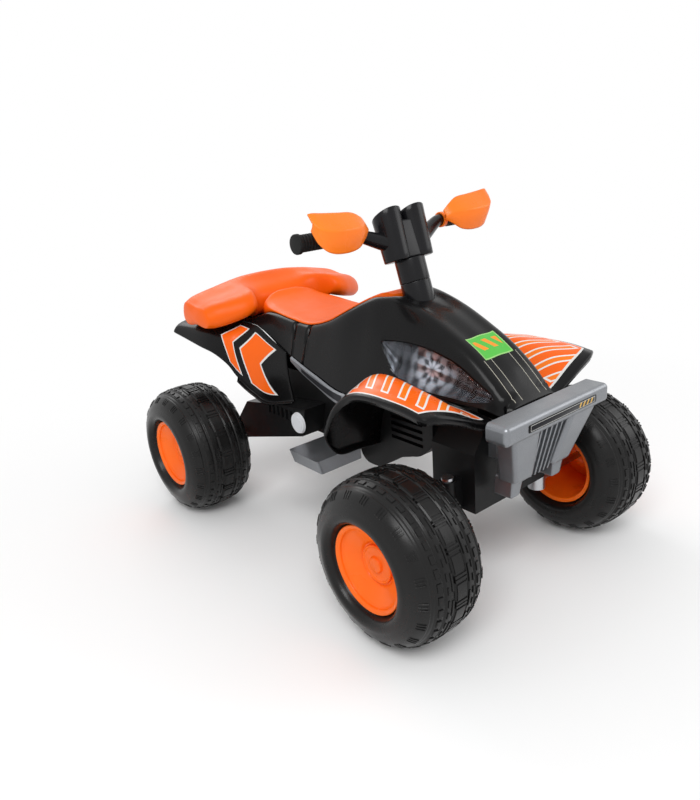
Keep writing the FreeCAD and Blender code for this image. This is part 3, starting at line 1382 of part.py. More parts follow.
def bumper():
    """A top bar, two hollow lobes that lean back below it, a ribbed panel between them, posts and stays."""
    depth = val("Sizes.bumper_depth")
    wall = val("Sizes.bumper_wall")
    radius = val("Sizes.bumper_round")
    half = val("Sizes.bumper_half")
    high = axle_z + val("Sizes.bumper_top_above_axle")
    front = val(BUMPER_FRONT)
    tall = val("Sizes.bumper_bar")
    shape = softened(Part.makeBox(2 * half, depth, tall, Vector(-half, front, high - tall)), radius)
    stay = val("Sizes.bumper_stay")
    bracket = front_axle - val("Sizes.bracket_front") - gap
    panel_rows = [(row[0], 0, row[1] + radius, row[3] - val("Sizes.bumper_panel")) for row in BUMPER_LOBE]
    rib = val("Sizes.bumper_rib")
    right = [softened(prism(BUMPER_LOBE, depth), radius).cut(prism(BUMPER_LOBE, 2 * depth, -wall))]
    right.append(prism(panel_rows, 2 * wall))
    for number in range(3):
        middle = number * val("Sizes.bumper_rib_pitch")
        rows = [(row[0] - wall, middle * share - rib / 2, middle * share + rib / 2, row[3] + rib)
                for row, share in zip(panel_rows, (1, 0.8))]
        right.append(prism(rows, 2 * rib))
    right.append(softened(prism(POST, depth - wall), radius / 2))
    low = axle_z + sum(row[0] for row in BUMPER_LOBE) / 2 - stay
    start = front_axle - BUMPER_LOBE[1][3]
    middle = (BUMPER_LOBE[1][1] + BUMPER_LOBE[1][2]) / 2
    right.append(Part.makeBox(stay, bracket - start, stay, Vector(-middle - stay / 2, start, low)))
    for piece in right:
        shape = shape.fuse(piece).fuse(piece.mirror(Vector(), ACROSS))
    return shaped("bumper", shape.removeSplitter())


keep(bumper())


def battery():
    floor = "(Sizes.tyre_radius + Sizes.tub_floor_above_axle + Sizes.tub_wall)"
    start = "(%s + Sizes.battery_front)" % FRONT_AXLE
    return block("battery", ("-Sizes.battery_length / 2", "Sizes.battery_length / 2"),
                 (start, start + " + Sizes.battery_width"), (floor, floor + " + Sizes.battery_height"))


keep(battery())


def drive_gearbox():
    top = "(Sizes.tyre_radius + Sizes.tub_floor_above_axle - Sizes.seat_gap)"
    far = "-Sizes.gearbox_side - Sizes.gearbox_width"
    near = "-Sizes.gearbox_side"
    case = block("gearbox_case", (far, near),
                 ("%s - Sizes.gearbox_front" % REAR_AXLE, "%s + Sizes.gearbox_rear" % REAR_AXLE),
                 ("Sizes.tyre_radius - Sizes.gearbox_drop", top))
    ends = [point(x, REAR_AXLE, AXLE_Z) for x in (far, near)]
    drum = rod("gearbox_drum", "Sizes.arm_boss", ends[0], ends[1])
    bore = rod("gearbox_bore", FIT, ends[0] - ACROSS, ends[1] + ACROSS)
    return less("drive_gearbox", joined("gearbox_whole", [case, drum]), [bore])


keep(drive_gearbox())


def drive_motor():
    seat = point("Sizes.seat_gap - Sizes.gearbox_side", "%s - Sizes.motor_front" % REAR_AXLE,
                 "Sizes.tyre_radius + Sizes.motor_rise")
    end = seat + ACROSS * val("Sizes.motor_length")
    can = rod("motor_can", "Sizes.motor_radius", seat, end)
    nose = rod("motor_nose", "Sizes.motor_radius - 9", end, end + ACROSS * 5)
    return joined("drive_motor", [can, nose])


keep(drive_motor())

doc.recompute()
failed = []
for item in doc.Objects:
    if "Invalid" in item.State or "Error" in item.State:
        failed.append("%s: %s" % (item.Label, item.State))
for piece in nodes:
    if piece.Shape.isNull() or not piece.Shape.isValid() or not piece.Shape.Solids:
        failed.append("%s: shape is null, open or not valid" % piece.Label)
if failed:
    print("\n".join(failed), flush=True)
    raise SystemExit(1)

os.makedirs("parts", exist_ok=True)
for piece in nodes:
    piece.Shape.exportStep("parts/%s.step" % piece.Label)
print(len(nodes), "pieces")
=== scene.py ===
import math

import bmesh
import bpy
import numpy as np
from mathutils import Matrix, Vector


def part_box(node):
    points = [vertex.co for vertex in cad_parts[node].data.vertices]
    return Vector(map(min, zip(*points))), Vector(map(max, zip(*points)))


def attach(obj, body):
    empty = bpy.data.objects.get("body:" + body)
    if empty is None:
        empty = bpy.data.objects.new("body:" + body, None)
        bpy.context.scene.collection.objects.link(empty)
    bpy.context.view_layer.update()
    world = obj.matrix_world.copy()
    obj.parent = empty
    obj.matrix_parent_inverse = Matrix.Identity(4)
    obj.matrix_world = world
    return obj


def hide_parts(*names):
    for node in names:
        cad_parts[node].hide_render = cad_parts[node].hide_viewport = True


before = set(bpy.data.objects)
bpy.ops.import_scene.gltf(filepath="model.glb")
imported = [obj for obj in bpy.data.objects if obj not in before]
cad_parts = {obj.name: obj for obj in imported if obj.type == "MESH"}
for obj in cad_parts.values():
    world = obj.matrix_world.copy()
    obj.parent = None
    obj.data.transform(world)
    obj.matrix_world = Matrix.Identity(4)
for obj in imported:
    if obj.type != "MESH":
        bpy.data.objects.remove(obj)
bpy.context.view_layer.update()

mm = 0.001

# wheel and axle places, read from the frame
tyreLow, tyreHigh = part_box("tyre_front_right")
rearLow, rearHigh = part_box("tyre_rear_right")
frontAxle = (tyreLow.y + tyreHigh.y) / 2
rearAxle = (rearLow.y + rearHigh.y) / 2
axleZ = (tyreLow.z + tyreHigh.z) / 2
wheelX = -(tyreLow.x + tyreHigh.x) / 2


# camera, light and floor

stage = {
    "cameraPlace": (-0.9251, -1.1046, 0.7890),
    "azimuth": -38.232,
    "elevation": 19.753,
    "roll": -4.561,
    "lens": 31.41,
    "sensor": 36,
    "floorColour": (0.95, 0.95, 0.95),
    "floorReach": 6.0,
    "floorFade": (0.6, 1.5),
    "skyStrength": 0.64,
    "lampAim": (0, 0, 0.3),
    # name, place, width and height, power
    "lamps": (
        ("keyLamp", (-1.6, -1.5, 2.4), (1.6, 1.2), 42),
        ("fillLamp", (2.2, -1.8, 1.6), (1.8, 1.4), 15),
        ("rimLamp", (0.4, 2.4, 2.2), (2.0, 1.0), 20),
    ),
}


def makeCamera():
    camera = bpy.data.objects.new("photoCamera", bpy.data.cameras.new("photoCamera"))
    camera.data.lens = stage["lens"]
    camera.data.sensor_width = stage["sensor"]
    a, e, r = (math.radians(stage[k]) for k in ("azimuth", "elevation", "roll"))
    back = Vector((math.sin(a) * math.cos(e), -math.cos(a) * math.cos(e), math.sin(e)))
    right = Vector((0, 0, 1)).cross(back).normalized()
    up = back.cross(right)
    side = right * math.cos(r) + up * math.sin(r)
    top = up * math.cos(r) - right * math.sin(r)
    turn = Matrix((side, top, back)).transposed()
    camera.matrix_world = Matrix.Translation(stage["cameraPlace"]) @ turn.to_4x4()
    bpy.context.scene.collection.objects.link(camera)
    bpy.context.scene.camera = camera


def areaLamp(name, place, size, power):
    lamp = bpy.data.objects.new(name, bpy.data.lights.new(name, "AREA"))
    lamp.data.shape = "RECTANGLE"
    lamp.data.size, lamp.data.size_y = size
    lamp.data.energy = power
    lamp.location = place
    way = Vector(stage["lampAim"]) - Vector(place)
    lamp.rotation_euler = way.to_track_quat("-Z", "Y").to_euler()
    bpy.context.scene.collection.objects.link(lamp)


def seenDirectly(tree):
    # 1 for the camera's own rays and for what metal and glass show, 0 for the light that falls on things
    path = tree.nodes.new("ShaderNodeLightPath")
    seen = path.outputs["Is Camera Ray"]
    for kind in ("Is Glossy Ray", "Is Transmission Ray"):
        either = tree.nodes.new("ShaderNodeMath")
        either.operation = "MAXIMUM"
        tree.links.new(seen, either.inputs[0])
        tree.links.new(path.outputs[kind], either.inputs[1])
        seen = either.outputs[0]
    return seen


def makeWorld():
    world = bpy.data.worlds.new("studio")
    bpy.context.scene.world = world
    world.use_nodes = True
    tree = world.node_tree
    tree.nodes.clear()
    out = tree.nodes.new("ShaderNodeOutputWorld")
    mix = tree.nodes.new("ShaderNodeMixShader")
    tree.links.new(seenDirectly(tree), mix.inputs[0])
    for socket, strength in ((1, stage["skyStrength"]), (2, 1.0)):
        sky = tree.nodes.new("ShaderNodeBackground")
        sky.inputs["Color"].default_value = (1, 1, 1, 1)
        sky.inputs["Strength"].default_value = strength
        tree.links.new(sky.outputs[0], mix.inputs[socket])
    tree.links.new(mix.outputs[0], out.inputs[0])


def paleFloor():
    # matt and pale, running out into the white behind the object
    f = Finish("paleFloor")
    f.set(Base_Color=(*stage["floorColour"], 1), Roughness=0.9)
    away = f.node("VectorMath", i0=f.coords())
    away.operation = "LENGTH"
    near, far = stage["floorFade"]
    share = f.math("MULTIPLY", f.ramp(away.outputs["Value"], 0, 1, near, far), seenDirectly(f.tree))
    glow = f.node("Emission", Color=(1, 1, 1, 1), Strength=1.0)
    mix = f.node("MixShader", i0=share, i1=f.shader.outputs[0], i2=glow.outputs[0])
    f.tree.links.new(mix.outputs[0], f.tree.nodes["Material Output"].inputs["Surface"])
    return f.paint


def makeStage():
    bpy.context.scene.view_settings.view_transform = "Standard"
    makeWorld()
    r = stage["floorReach"]
    floor = meshPiece("floor", [(-r, -r, 0), (r, -r, 0), (r, r, 0), (-r, r, 0)], [(0, 1, 2, 3)])
    floor.data.materials.append(paleFloor())
    for lamp in stage["lamps"]:
        areaLamp(*lamp)


# mesh helpers

def newPiece(name, mesh):
    piece = bpy.data.objects.new(name, mesh)
    bpy.context.scene.collection.objects.link(piece)
    return piece


def meshPiece(name, points, faces):
    mesh = bpy.data.meshes.new(name)
    mesh.from_pydata([tuple(p) for p in points], [], faces)
    mesh.validate()
    mesh.shade_smooth()
    return newPiece(name, mesh)


def gridPiece(name, rows, closeRows=False, closeCols=False, skip=None):
    # a skin through rows of points, with a UV map that runs 0..1 along rows and columns
    count, width = len(rows), len(rows[0])
    faces, marks = [], []
    for i in range(count if closeRows else count - 1):
        for j in range(width if closeCols else width - 1):
            if skip and skip(i, j):
                continue
            i2, j2 = (i + 1) % count, (j + 1) % width
            faces.append((i * width + j, i * width + j2, i2 * width + j2, i2 * width + j))
            marks.append((i, j))
    piece = meshPiece(name, [p for row in rows for p in row], faces)
    layer = piece.data.uv_layers.new(name="surface")
    stepU = 1 / (width if closeCols else width - 1)
    stepV = 1 / (count if closeRows else count - 1)
    for face, (i, j) in zip(piece.data.polygons, marks):
        corners = ((j, i), (j + 1, i), (j + 1, i + 1), (j, i + 1))
        for loop, (u, v) in zip(face.loop_indices, corners):
            layer.data[loop].uv = (u * stepU, v * stepV)
    return piece


def outward(piece):
    net = bmesh.new()
    net.from_mesh(piece.data)
    bmesh.ops.remove_doubles(net, verts=net.verts, dist=1e-6)
    bmesh.ops.recalc_face_normals(net, faces=net.faces)
    net.to_mesh(piece.data)
    net.free()
    piece.data.shade_smooth()


def faceTowards(piece, way):
    # turns the skin over if most of it looks away from a direction
    total = sum((f.normal * f.area for f in piece.data.polygons), Vector())
    if total.dot(Vector(way)) < 0:
        piece.data.flip_normals()


def settled(piece):
    # modifiers become plain mesh
    graph = bpy.context.evaluated_depsgraph_get()
    mesh = bpy.data.meshes.new_from_object(piece.evaluated_get(graph))
    old = piece.data
    piece.modifiers.clear()
    piece.data = mesh
    bpy.data.meshes.remove(old)
    mesh.name = piece.name
    return piece


def thicken(piece, wall):
    # gives a skin its wall, inwards, in millimetres
    shell = piece.modifiers.new("wall", "SOLIDIFY")
    shell.thickness = wall * mm
    shell.offset = -1.0
    shell.use_even_offset = True
    return settled(piece)


def walled(piece, way, wall):
    outward(piece)
    faceTowards(piece, way)
    return thicken(piece, wall)


def closeEnds(piece):
    net = bmesh.new()
    net.from_mesh(piece.data)
    bmesh.ops.holes_fill(net, edges=[e for e in net.edges if e.is_boundary], sides=0)
    bmesh.ops.recalc_face_normals(net, faces=net.faces)
    net.to_mesh(piece.data)
    net.free()
    piece.data.shade_smooth()


def loopPiece(name, loops):
    # a closed body through loops of points
    piece = gridPiece(name, loops, closeCols=True)
    outward(piece)
    closeEnds(piece)
    return piece


def joinMeshes(name, pieces):
    net = bmesh.new()
    for piece in pieces:
        net.from_mesh(piece.data)
        mesh = piece.data
        bpy.data.objects.remove(piece)
        bpy.data.meshes.remove(mesh)
    bmesh.ops.remove_doubles(net, verts=net.verts, dist=1e-6)
    mesh = bpy.data.meshes.new(name)
    net.to_mesh(mesh)
    net.free()
    mesh.shade_smooth()
    return newPiece(name, mesh)


def twin(piece):
    # the left-hand copy of a right-hand piece
    mesh = piece.data.copy()
    mesh.transform(Matrix.Scale(-1, 4, Vector((1, 0, 0))))
    mesh.flip_normals()
    return newPiece(piece.name.replace("Right", "Left"), mesh)


def place(piece, body, nodes, finish, slotName):
    piece.data.materials.clear()
    piece.data.materials.append(finishes[finish])
    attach(piece, body)
    if nodes:
        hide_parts(*nodes)


def placePair(right, body, node, finish, slotName):
    # a right-hand piece and its twin, which stand for a pair of nodes if one is named
    place(right, body, [node + "_right"] if node else [], finish, slotName)
    place(twin(right), body, [node + "_left"] if node else [], finish, slotName)


def readAt(rows, where):
    # rows of (place, number, ...) read on a smooth curve through them
    spot = max(1, min(len(rows) - 1, sum(1 for row in rows if row[0] <= where)))
    first, second = rows[spot - 1], rows[spot]
    before, after = rows[max(spot - 2, 0)], rows[min(spot + 1, len(rows) - 1)]
    span = second[0] - first[0]
    t = min(max((where - first[0]) / span, 0), 1)
    found = []
    for a, b, c, d in zip(before[1:], first[1:], second[1:], after[1:]):
        rise = (c - a) * span / (second[0] - before[0])
        fall = (d - b) * span / (after[0] - first[0])
        cube = 2 * b - 2 * c + rise + fall
        square = 3 * c - 3 * b - 2 * rise - fall
        found.append(((cube * t + square) * t + rise) * t + b)
    return found


def naturalCurve(points, marks, samples):
    # a cubic through points at given marks, read at sample marks
    x = np.array(marks, float)
    y = np.array([tuple(p) for p in points], float)
    n = len(x)
    h = np.diff(x)
    system = np.eye(n)
    right = np.zeros_like(y)
    for i in range(1, n - 1):
        system[i, i - 1], system[i, i], system[i, i + 1] = h[i - 1], 2 * (h[i - 1] + h[i]), h[i]
        right[i] = 6 * ((y[i + 1] - y[i]) / h[i] - (y[i] - y[i - 1]) / h[i - 1])
    bend = np.linalg.solve(system, right)
    found = []
    for s in samples:
        i = min(max(int(np.searchsorted(x, s)) - 1, 0), n - 2)
        a, b = (x[i + 1] - s) / h[i], (s - x[i]) / h[i]
        curve = (a ** 3 - a) * bend[i] + (b ** 3 - b) * bend[i + 1]
        found.append(Vector(a * y[i] + b * y[i + 1] + curve * h[i] ** 2 / 6))
    return found


def chordMarks(rows):
    marks = [0.0]
    for i in range(1, len(rows[0])):
        marks.append(marks[-1] + sum((r[i] - r[i - 1]).length for r in rows) / len(rows))
    return [m / marks[-1] for m in marks]


def steps(first, last, count):
    return [first + (last - first) * i / count for i in range(count + 1)]


# finishes

class Finish:
    # a material's tree with short ways to add to it
    def __init__(self, name):
        self.paint = bpy.data.materials.new(name)
        self.paint.use_nodes = True
        self.tree = self.paint.node_tree
        self.shader = self.tree.nodes["Principled BSDF"]

    def set(self, **sockets):
        for key, value in sockets.items():
            self.shader.inputs[key.replace("_", " ")].default_value = value

    def node(self, kind, **inputs):
        made = self.tree.nodes.new("ShaderNode" + kind)
        for key, value in inputs.items():
            numbered = key[0] == "i" and key[1:].isdigit()  # i0 is the first socket
            self.feed(made.inputs[int(key[1:]) if numbered else key], value)
        return made

    def feed(self, socket, value):
        if isinstance(value, bpy.types.NodeSocket):
            self.tree.links.new(value, socket)
        else:
            socket.default_value = value

    def math(self, operation, *values):
        made = self.tree.nodes.new("ShaderNodeMath")
        made.operation = operation
        for socket, value in zip(made.inputs, values):
            self.feed(socket, value)
        return made.outputs[0]

    def both(self, first, second):
        return self.math("MULTIPLY", first, second)

    def either(self, first, second):
        return self.math("MAXIMUM", first, second)

    def distance(self, first, second):
        return self.math("SQRT", self.math("ADD", self.both(first, first), self.both(second, second)))

    def coords(self, kind="Object"):
        return self.tree.nodes.new("ShaderNodeTexCoord").outputs[kind]

    def axes(self, kind="Object"):
        split = self.node("SeparateXYZ", Vector=self.coords(kind))
        return [split.outputs[axis] for axis in "XYZ"]

    def noise(self, scale, detail=4, where=None):
        made = self.node("TexNoise", Vector=where or self.coords(), Scale=scale, Detail=detail)
        return made.outputs["Fac"]

    def ramp(self, value, low, high, start, stop):
        made = self.node("MapRange", Value=value)
        for key, number in (("From Min", start), ("From Max", stop), ("To Min", low), ("To Max", high)):
            made.inputs[key].default_value = number
        return made.outputs["Result"]

    def blend(self, share, first, second):
        made = self.tree.nodes.new("ShaderNodeMix")
        made.data_type = "RGBA"
        self.feed(made.inputs["Factor"], share)
        self.feed(made.inputs["A"], (*first, 1) if isinstance(first, tuple) else first)
        self.feed(made.inputs["B"], (*second, 1) if isinstance(second, tuple) else second)
        return made.outputs["Result"]

    def bump(self, height, strength, distance):
        made = self.node("Bump", Height=height)
        made.inputs["Strength"].default_value = strength
        made.inputs["Distance"].default_value = distance
        self.tree.links.new(made.outputs[0], self.shader.inputs["Normal"])

    def band(self, value, low, high):
        above = self.math("GREATER_THAN", value, low)
        return self.both(above, self.math("LESS_THAN", value, high))

    def colour(self, value):
        self.feed(self.shader.inputs["Base Color"], value)

    def rough(self, value):
        self.feed(self.shader.inputs["Roughness"], value)


def plasticFinish(name, dark, light, rough, grain, depth, coat=0.0, shine=0.2):
    # moulded colour with faint flow marks, a fine skin texture and handling wear in the gloss
    f = Finish(name)
    flow = f.noise(6.0, 3)
    f.skin = f.blend(f.ramp(flow, 0, 1, 0.35, 0.65), dark, light)
    f.colour(f.skin)
    smear = f.noise(22.0, 6)
    f.rough(f.ramp(smear, rough[0], rough[1], 0.35, 0.7))
    f.bump(f.noise(grain, 2), 0.25, depth)
    f.set(Coat_Weight=coat, Coat_Roughness=0.12, Specular_IOR_Level=shine)
    return f


def metallicGrey(name="metallicGrey"):
    # silver-grey paint with fine flake and a soft clear top
    f = Finish(name)
    flake = f.noise(1900, 2)
    f.skin = f.blend(f.ramp(flake, 0, 1, 0.35, 0.7), (0.19, 0.2, 0.215), (0.3, 0.31, 0.33))
    f.colour(f.skin)
    f.rough(f.ramp(f.noise(30, 5), 0.3, 0.42, 0.3, 0.7))
    f.set(Metallic=0.8, Coat_Weight=0.15, Coat_Roughness=0.15)
    f.bump(f.noise(900, 2), 0.15, 0.00012)
    return f


trimInset = {
    # the dark inlay of the side trims: start and length, its middle line and its half width, in metres
    "start": -0.086,
    "length": 0.191,
    "middle": (0.3223, 0.0245, 0.0277),
    "half": (0.0088, -0.0062),
    "reach": (0.06, 0.78),
    "colour": (0.02, 0.021, 0.026),
}


def trimGrey():
    # the grey paint with a dark inlay that follows the rising, narrowing trim
    size = trimInset
    f = metallicGrey("trimGrey")
    x, y, z = f.axes()
    share = f.ramp(y, 0, 1, size["start"], size["start"] + size["length"])
    first, slope, bend = size["middle"]
    rise = f.math("ADD", f.both(share, bend), slope)
    line = f.math("ADD", f.both(rise, share), first)
    off = f.math("ABSOLUTE", f.math("SUBTRACT", z, line))
    half = f.math("ADD", f.both(share, size["half"][1]), size["half"][0])
    inside = f.both(f.math("LESS_THAN", off, half), f.band(share, *size["reach"]))
    f.colour(f.blend(inside, f.skin, size["colour"]))
    return f


def zincSteel():
    f = Finish("zincSteel")
    brushed = f.node("Mapping", Vector=f.coords(), Scale=(60, 900, 900)).outputs[0]
    line = f.noise(4, 3, brushed)
    f.colour(f.blend(line, (0.42, 0.43, 0.45), (0.62, 0.63, 0.65)))
    f.rough(f.ramp(line, 0.24, 0.4, 0.3, 0.7))
    f.set(Metallic=1.0)
    f.bump(line, 0.1, 0.0001)
    return f


blackGloss = {
    "dark": (0.0034, 0.0033, 0.0036),
    "light": (0.005, 0.0049, 0.0053),
    "rough": (0.2, 0.32),
    "grain": 420,
    "depth": 0.00012,
    "coat": 0.1,
    "shine": 0.12,
}


def clearLens():
    # clear moulded lens with a faint grey tint and fine flutes
    f = Finish("clearLens")
    flute = f.node("TexWave", Vector=f.coords(), Scale=70.0, Distortion=1.5, Detail=2.0).outputs["Fac"]
    f.colour(f.blend(f.noise(40, 2), (0.7, 0.73, 0.78), (0.82, 0.84, 0.88)))
    f.rough(f.ramp(f.noise(60, 4), 0.01, 0.03, 0.3, 0.7))
    f.set(Transmission_Weight=1.0, IOR=1.18)
    f.bump(flute, 0.05, 0.0003)
    return f


bulb = {
    # metres behind the front axle and above it, where the reflector's painted glint is centred
    "behind": 0.075,
    "above": 0.262,
    "petals": 9,
    "ringStep": 0.009,
    "glintFade": (0.012, 0.055),
}


def chrome():
    # a metallised bowl whose colour carries painted glints, bright round the bulb with facets in rings and
    # petals, and near black towards its rim where the painted glint fades
    f = Finish("chrome")
    x, y, z = f.axes()
    along = f.math("SUBTRACT", y, frontAxle + bulb["behind"])
    up = f.math("SUBTRACT", z, axleZ + bulb["above"])
    away = f.distance(along, up)
    turn = f.math("ARCTAN2", up, along)
    petal = f.math("PINGPONG", f.both(turn, bulb["petals"] / math.pi), 1.0)
    ring = f.math("PINGPONG", f.math("DIVIDE", away, bulb["ringStep"]), 1.0)
    facet = f.ramp(f.math("ADD", petal, ring), 0.1, 1.0, 0.55, 1.35)
    # painted glint: the reflector's colour runs from near black to near white in the facets near the bulb,
    # standing in for reflected light
    paintedGlint = f.both(facet, f.ramp(away, 1.0, 0.1, *bulb["glintFade"]))
    f.colour(f.blend(paintedGlint, (0.035, 0.036, 0.04), (0.85, 0.86, 0.88)))
    f.rough(f.ramp(f.noise(150, 3), 0.12, 0.26, 0.3, 0.7))
    f.set(Metallic=0.65)
    return f


hoodPatch = {
    # metres from the middle plane and behind the front axle: coach lines, then a panel with slanted bars
    "lines": ((0.0235, 0.0247), (0.0415, 0.0427)),
    "lineStart": -0.079,
    "lineColour": (0.5, 0.48, 0.4),
    "halfWidth": 0.037,
    "reach": (-0.012, 0.034),
    "edge": 0.0022,
    "edgeColour": (0.32, 0.62, 0.2),
    "colour": (0.1, 0.5, 0.07),
    "barPitch": 0.026,
    "barSlant": 0.7,
    "barShare": (0.3, 0.75),
    "barReach": (0.004, 0.024),
    "barColour": (0.9, 0.3, 0.03),
}


def hoodBlack():
    # the body's black with fine pale coach lines on each side of the nose and a green panel above them
    size = hoodPatch
    f = plasticFinish("hoodBlack", **blackGloss)
    x, y, z = f.axes()
    side = f.math("ABSOLUTE", x)
    behind = f.math("SUBTRACT", y, frontAxle)
    low, high = size["reach"]
    lines = f.either(*(f.band(side, *line) for line in size["lines"]))
    base = f.blend(f.both(lines, f.band(behind, size["lineStart"], low)), f.skin, size["lineColour"])
    for inset, colour in ((0, size["edgeColour"]), (size["edge"], size["colour"])):
        across = f.math("LESS_THAN", side, size["halfWidth"] - inset)
        base = f.blend(f.both(across, f.band(behind, low + inset, high - inset)), base, colour)
    slant = f.math("ADD", x, f.both(behind, size["barSlant"]))
    wave = f.math("FRACT", f.math("DIVIDE", slant, size["barPitch"]))
    bars = f.both(f.band(wave, *size["barShare"]), f.band(behind, *size["barReach"]))
    inside = f.math("LESS_THAN", side, size["halfWidth"] - 3 * size["edge"])
    f.colour(f.blend(f.both(bars, inside), base, size["barColour"]))
    return f


dial = {
    # radii in metres, and turns in radians from the top of the dial
    "tickCount": 24,
    "tickShare": (0.38, 0.62),
    "ticks": (0.0165, 0.0195),
    "sweep": 2.4,
    "ring": (0.0208, 0.0214),
    "markColour": (0.75, 0.75, 0.72),
    "needle": (0.0035, 0.0155),
    "needleTurn": (0.62, 0.72),
    "needleColour": (0.85, 0.12, 0.02),
    "hub": 0.003,
    "hubColour": (0.3, 0.31, 0.33),
}


def gaugeDial(name, x):
    # black dial with a pale ring, ticks and a needle, centred on its pod's slanted top
    size = dial
    f = Finish(name)
    slant = math.radians(handlebar["podSlant"])
    offset = f.node("VectorMath", i0=f.coords(), i1=tuple(onColumn(x, 0, handlebar["podHead"])))
    offset.operation = "SUBTRACT"
    across = []
    for way in (Vector((1, 0, 0)), Vector((0, math.cos(slant), -math.sin(slant)))):
        part = f.node("VectorMath", i0=offset.outputs[0], i1=tuple(columnFrame.to_3x3() @ way))
        part.operation = "DOT_PRODUCT"
        across.append(part.outputs["Value"])
    away = f.distance(*across)
    angle = f.math("ARCTAN2", across[0], f.both(across[1], -1.0))
    tick = f.math("FRACT", f.both(angle, size["tickCount"] / (2 * math.pi)))
    ticks = f.both(f.band(tick, *size["tickShare"]), f.band(away, *size["ticks"]))
    ticks = f.both(ticks, f.band(angle, -size["sweep"], size["sweep"]))
    marks = f.either(ticks, f.band(away, *size["ring"]))
    needle = f.both(f.band(angle, *size["needleTurn"]), f.band(away, *size["needle"]))
    face = f.blend(f.noise(500, 3), (0.010, 0.010, 0.012), (0.016, 0.016, 0.018))
    face = f.blend(marks, face, size["markColour"])
    face = f.blend(needle, face, size["needleColour"])
    f.colour(f.blend(f.math("LESS_THAN", away, size["hub"]), face, size["hubColour"]))
    f.rough(f.ramp(f.noise(60, 4), 0.16, 0.28, 0.3, 0.7))
    return f


bumperStrip = {
    # millimetres: from and to across and up, and the front of the bumper's top bar
    "x": (-88, 100),
    "z": (348.5, 362),
    "front": -486,
    "sink": 1.5,
    "proud": 0.8,
    "round": 0.4,
    "corner": 2.5,
    # a keyline inside the edge, and amber bars at one end
    "keyInset": (5, 1.6),
    "keyWidth": 1.0,
    "keyColours": ((0.45, 0.45, 0.43), (0.01, 0.01, 0.013)),
    "barReach": (50, 90),
    "barPitch": 11,
    "barSlant": 0.6,
    "barShare": (0.2, 0.6),
    "barColour": (0.7, 0.4, 0.04),
}


def bumperStripFinish():
    # a dark strip with a pale keyline and a few slanted amber bars at one end
    size = bumperStrip
    f = plasticFinish("bumperStripFinish", **blackGloss)
    x, y, z = f.axes()
    base = f.skin
    for inset, colour in zip((0, size["keyWidth"]), size["keyColours"]):
        bands = []
        for value, (low, high), key in zip((x, z), (size["x"], size["z"]), size["keyInset"]):
            bands.append(f.band(value, (low + key + inset) * mm, (high - key - inset) * mm))
        inside = f.both(*bands)
        base = f.blend(inside, base, colour)
    slant = f.math("SUBTRACT", x, f.both(z, size["barSlant"]))
    wave = f.math("FRACT", f.math("DIVIDE", slant, size["barPitch"] * mm))
    reach = f.band(x, *(end * mm for end in size["barReach"]))
    bars = f.both(f.band(wave, *size["barShare"]), reach)
    f.colour(f.blend(f.both(bars, inside), base, size["barColour"]))
    return f


graphicPale = (0.72, 0.72, 0.7)
graphicOrange = (0.93, 0.135, 0.008)

fenderPanel = {
    # shares of the fender: a pale panel and the orange inside it, from and to along and across
    "lean": -0.02,
    "layers": (((0.03, 0.55), (0.1, 0.97), graphicPale), ((0.042, 0.538), (0.12, 0.955), graphicOrange)),
    # pale bars and the amber inside them, as shares of a pitch and across
    "barCount": 9.0,
    "barLean": 0.35,
    "bars": (
        ((0.26, 0.74), (0.245, 0.885), (0.78, 0.78, 0.76)),
        ((0.36, 0.64), (0.27, 0.86), (0.93, 0.2, 0.012)),
    ),
}


def fenderGraphic():
    # black fender with an orange panel, a pale edge and slanted bars
    size = fenderPanel
    f = plasticFinish("fenderGraphic", **blackGloss)
    along, across, none = f.axes("UV")
    slant = f.math("ADD", along, f.both(across, size["lean"]))
    base = f.skin
    for reach, sides, colour in size["layers"]:
        inside = f.both(f.band(slant, *reach), f.band(across, *sides))
        base = f.blend(inside, base, colour)
    wave = f.math("FRACT", f.both(f.math("ADD", slant, f.both(across, size["barLean"])), size["barCount"]))
    for share, sides, colour in size["bars"]:
        bars = f.both(f.band(wave, *share), f.band(across, *sides))
        base = f.blend(f.both(inside, bars), base, colour)
    f.colour(base)
    return f


rearChevrons = {
    # shares of the fender: pale chevrons and the orange inside them, from and to across, then along
    "fold": 0.5,
    "lean": 0.3,
    "layers": (
        ((0.1, 0.9), ((0.2, 0.42), (0.5, 0.66)), graphicPale),
        ((0.115, 0.885), ((0.215, 0.405), (0.515, 0.645)), graphicOrange),
    ),
}


def rearGraphic():
    # black fender with broad orange chevrons edged in white
    size = rearChevrons
    f = plasticFinish("rearGraphic", **blackGloss)
    across, along, none = f.axes("UV")
    fold = f.math("ABSOLUTE", f.math("SUBTRACT", across, size["fold"]))
    bent = f.math("ADD", along, f.both(fold, size["lean"]))
    base = f.skin
    for sides, chevrons, colour in size["layers"]:
        drawn = f.either(*(f.band(bent, *chevron) for chevron in chevrons))
        base = f.blend(f.both(drawn, f.band(across, *sides)), base, colour)
    f.colour(base)
    return f


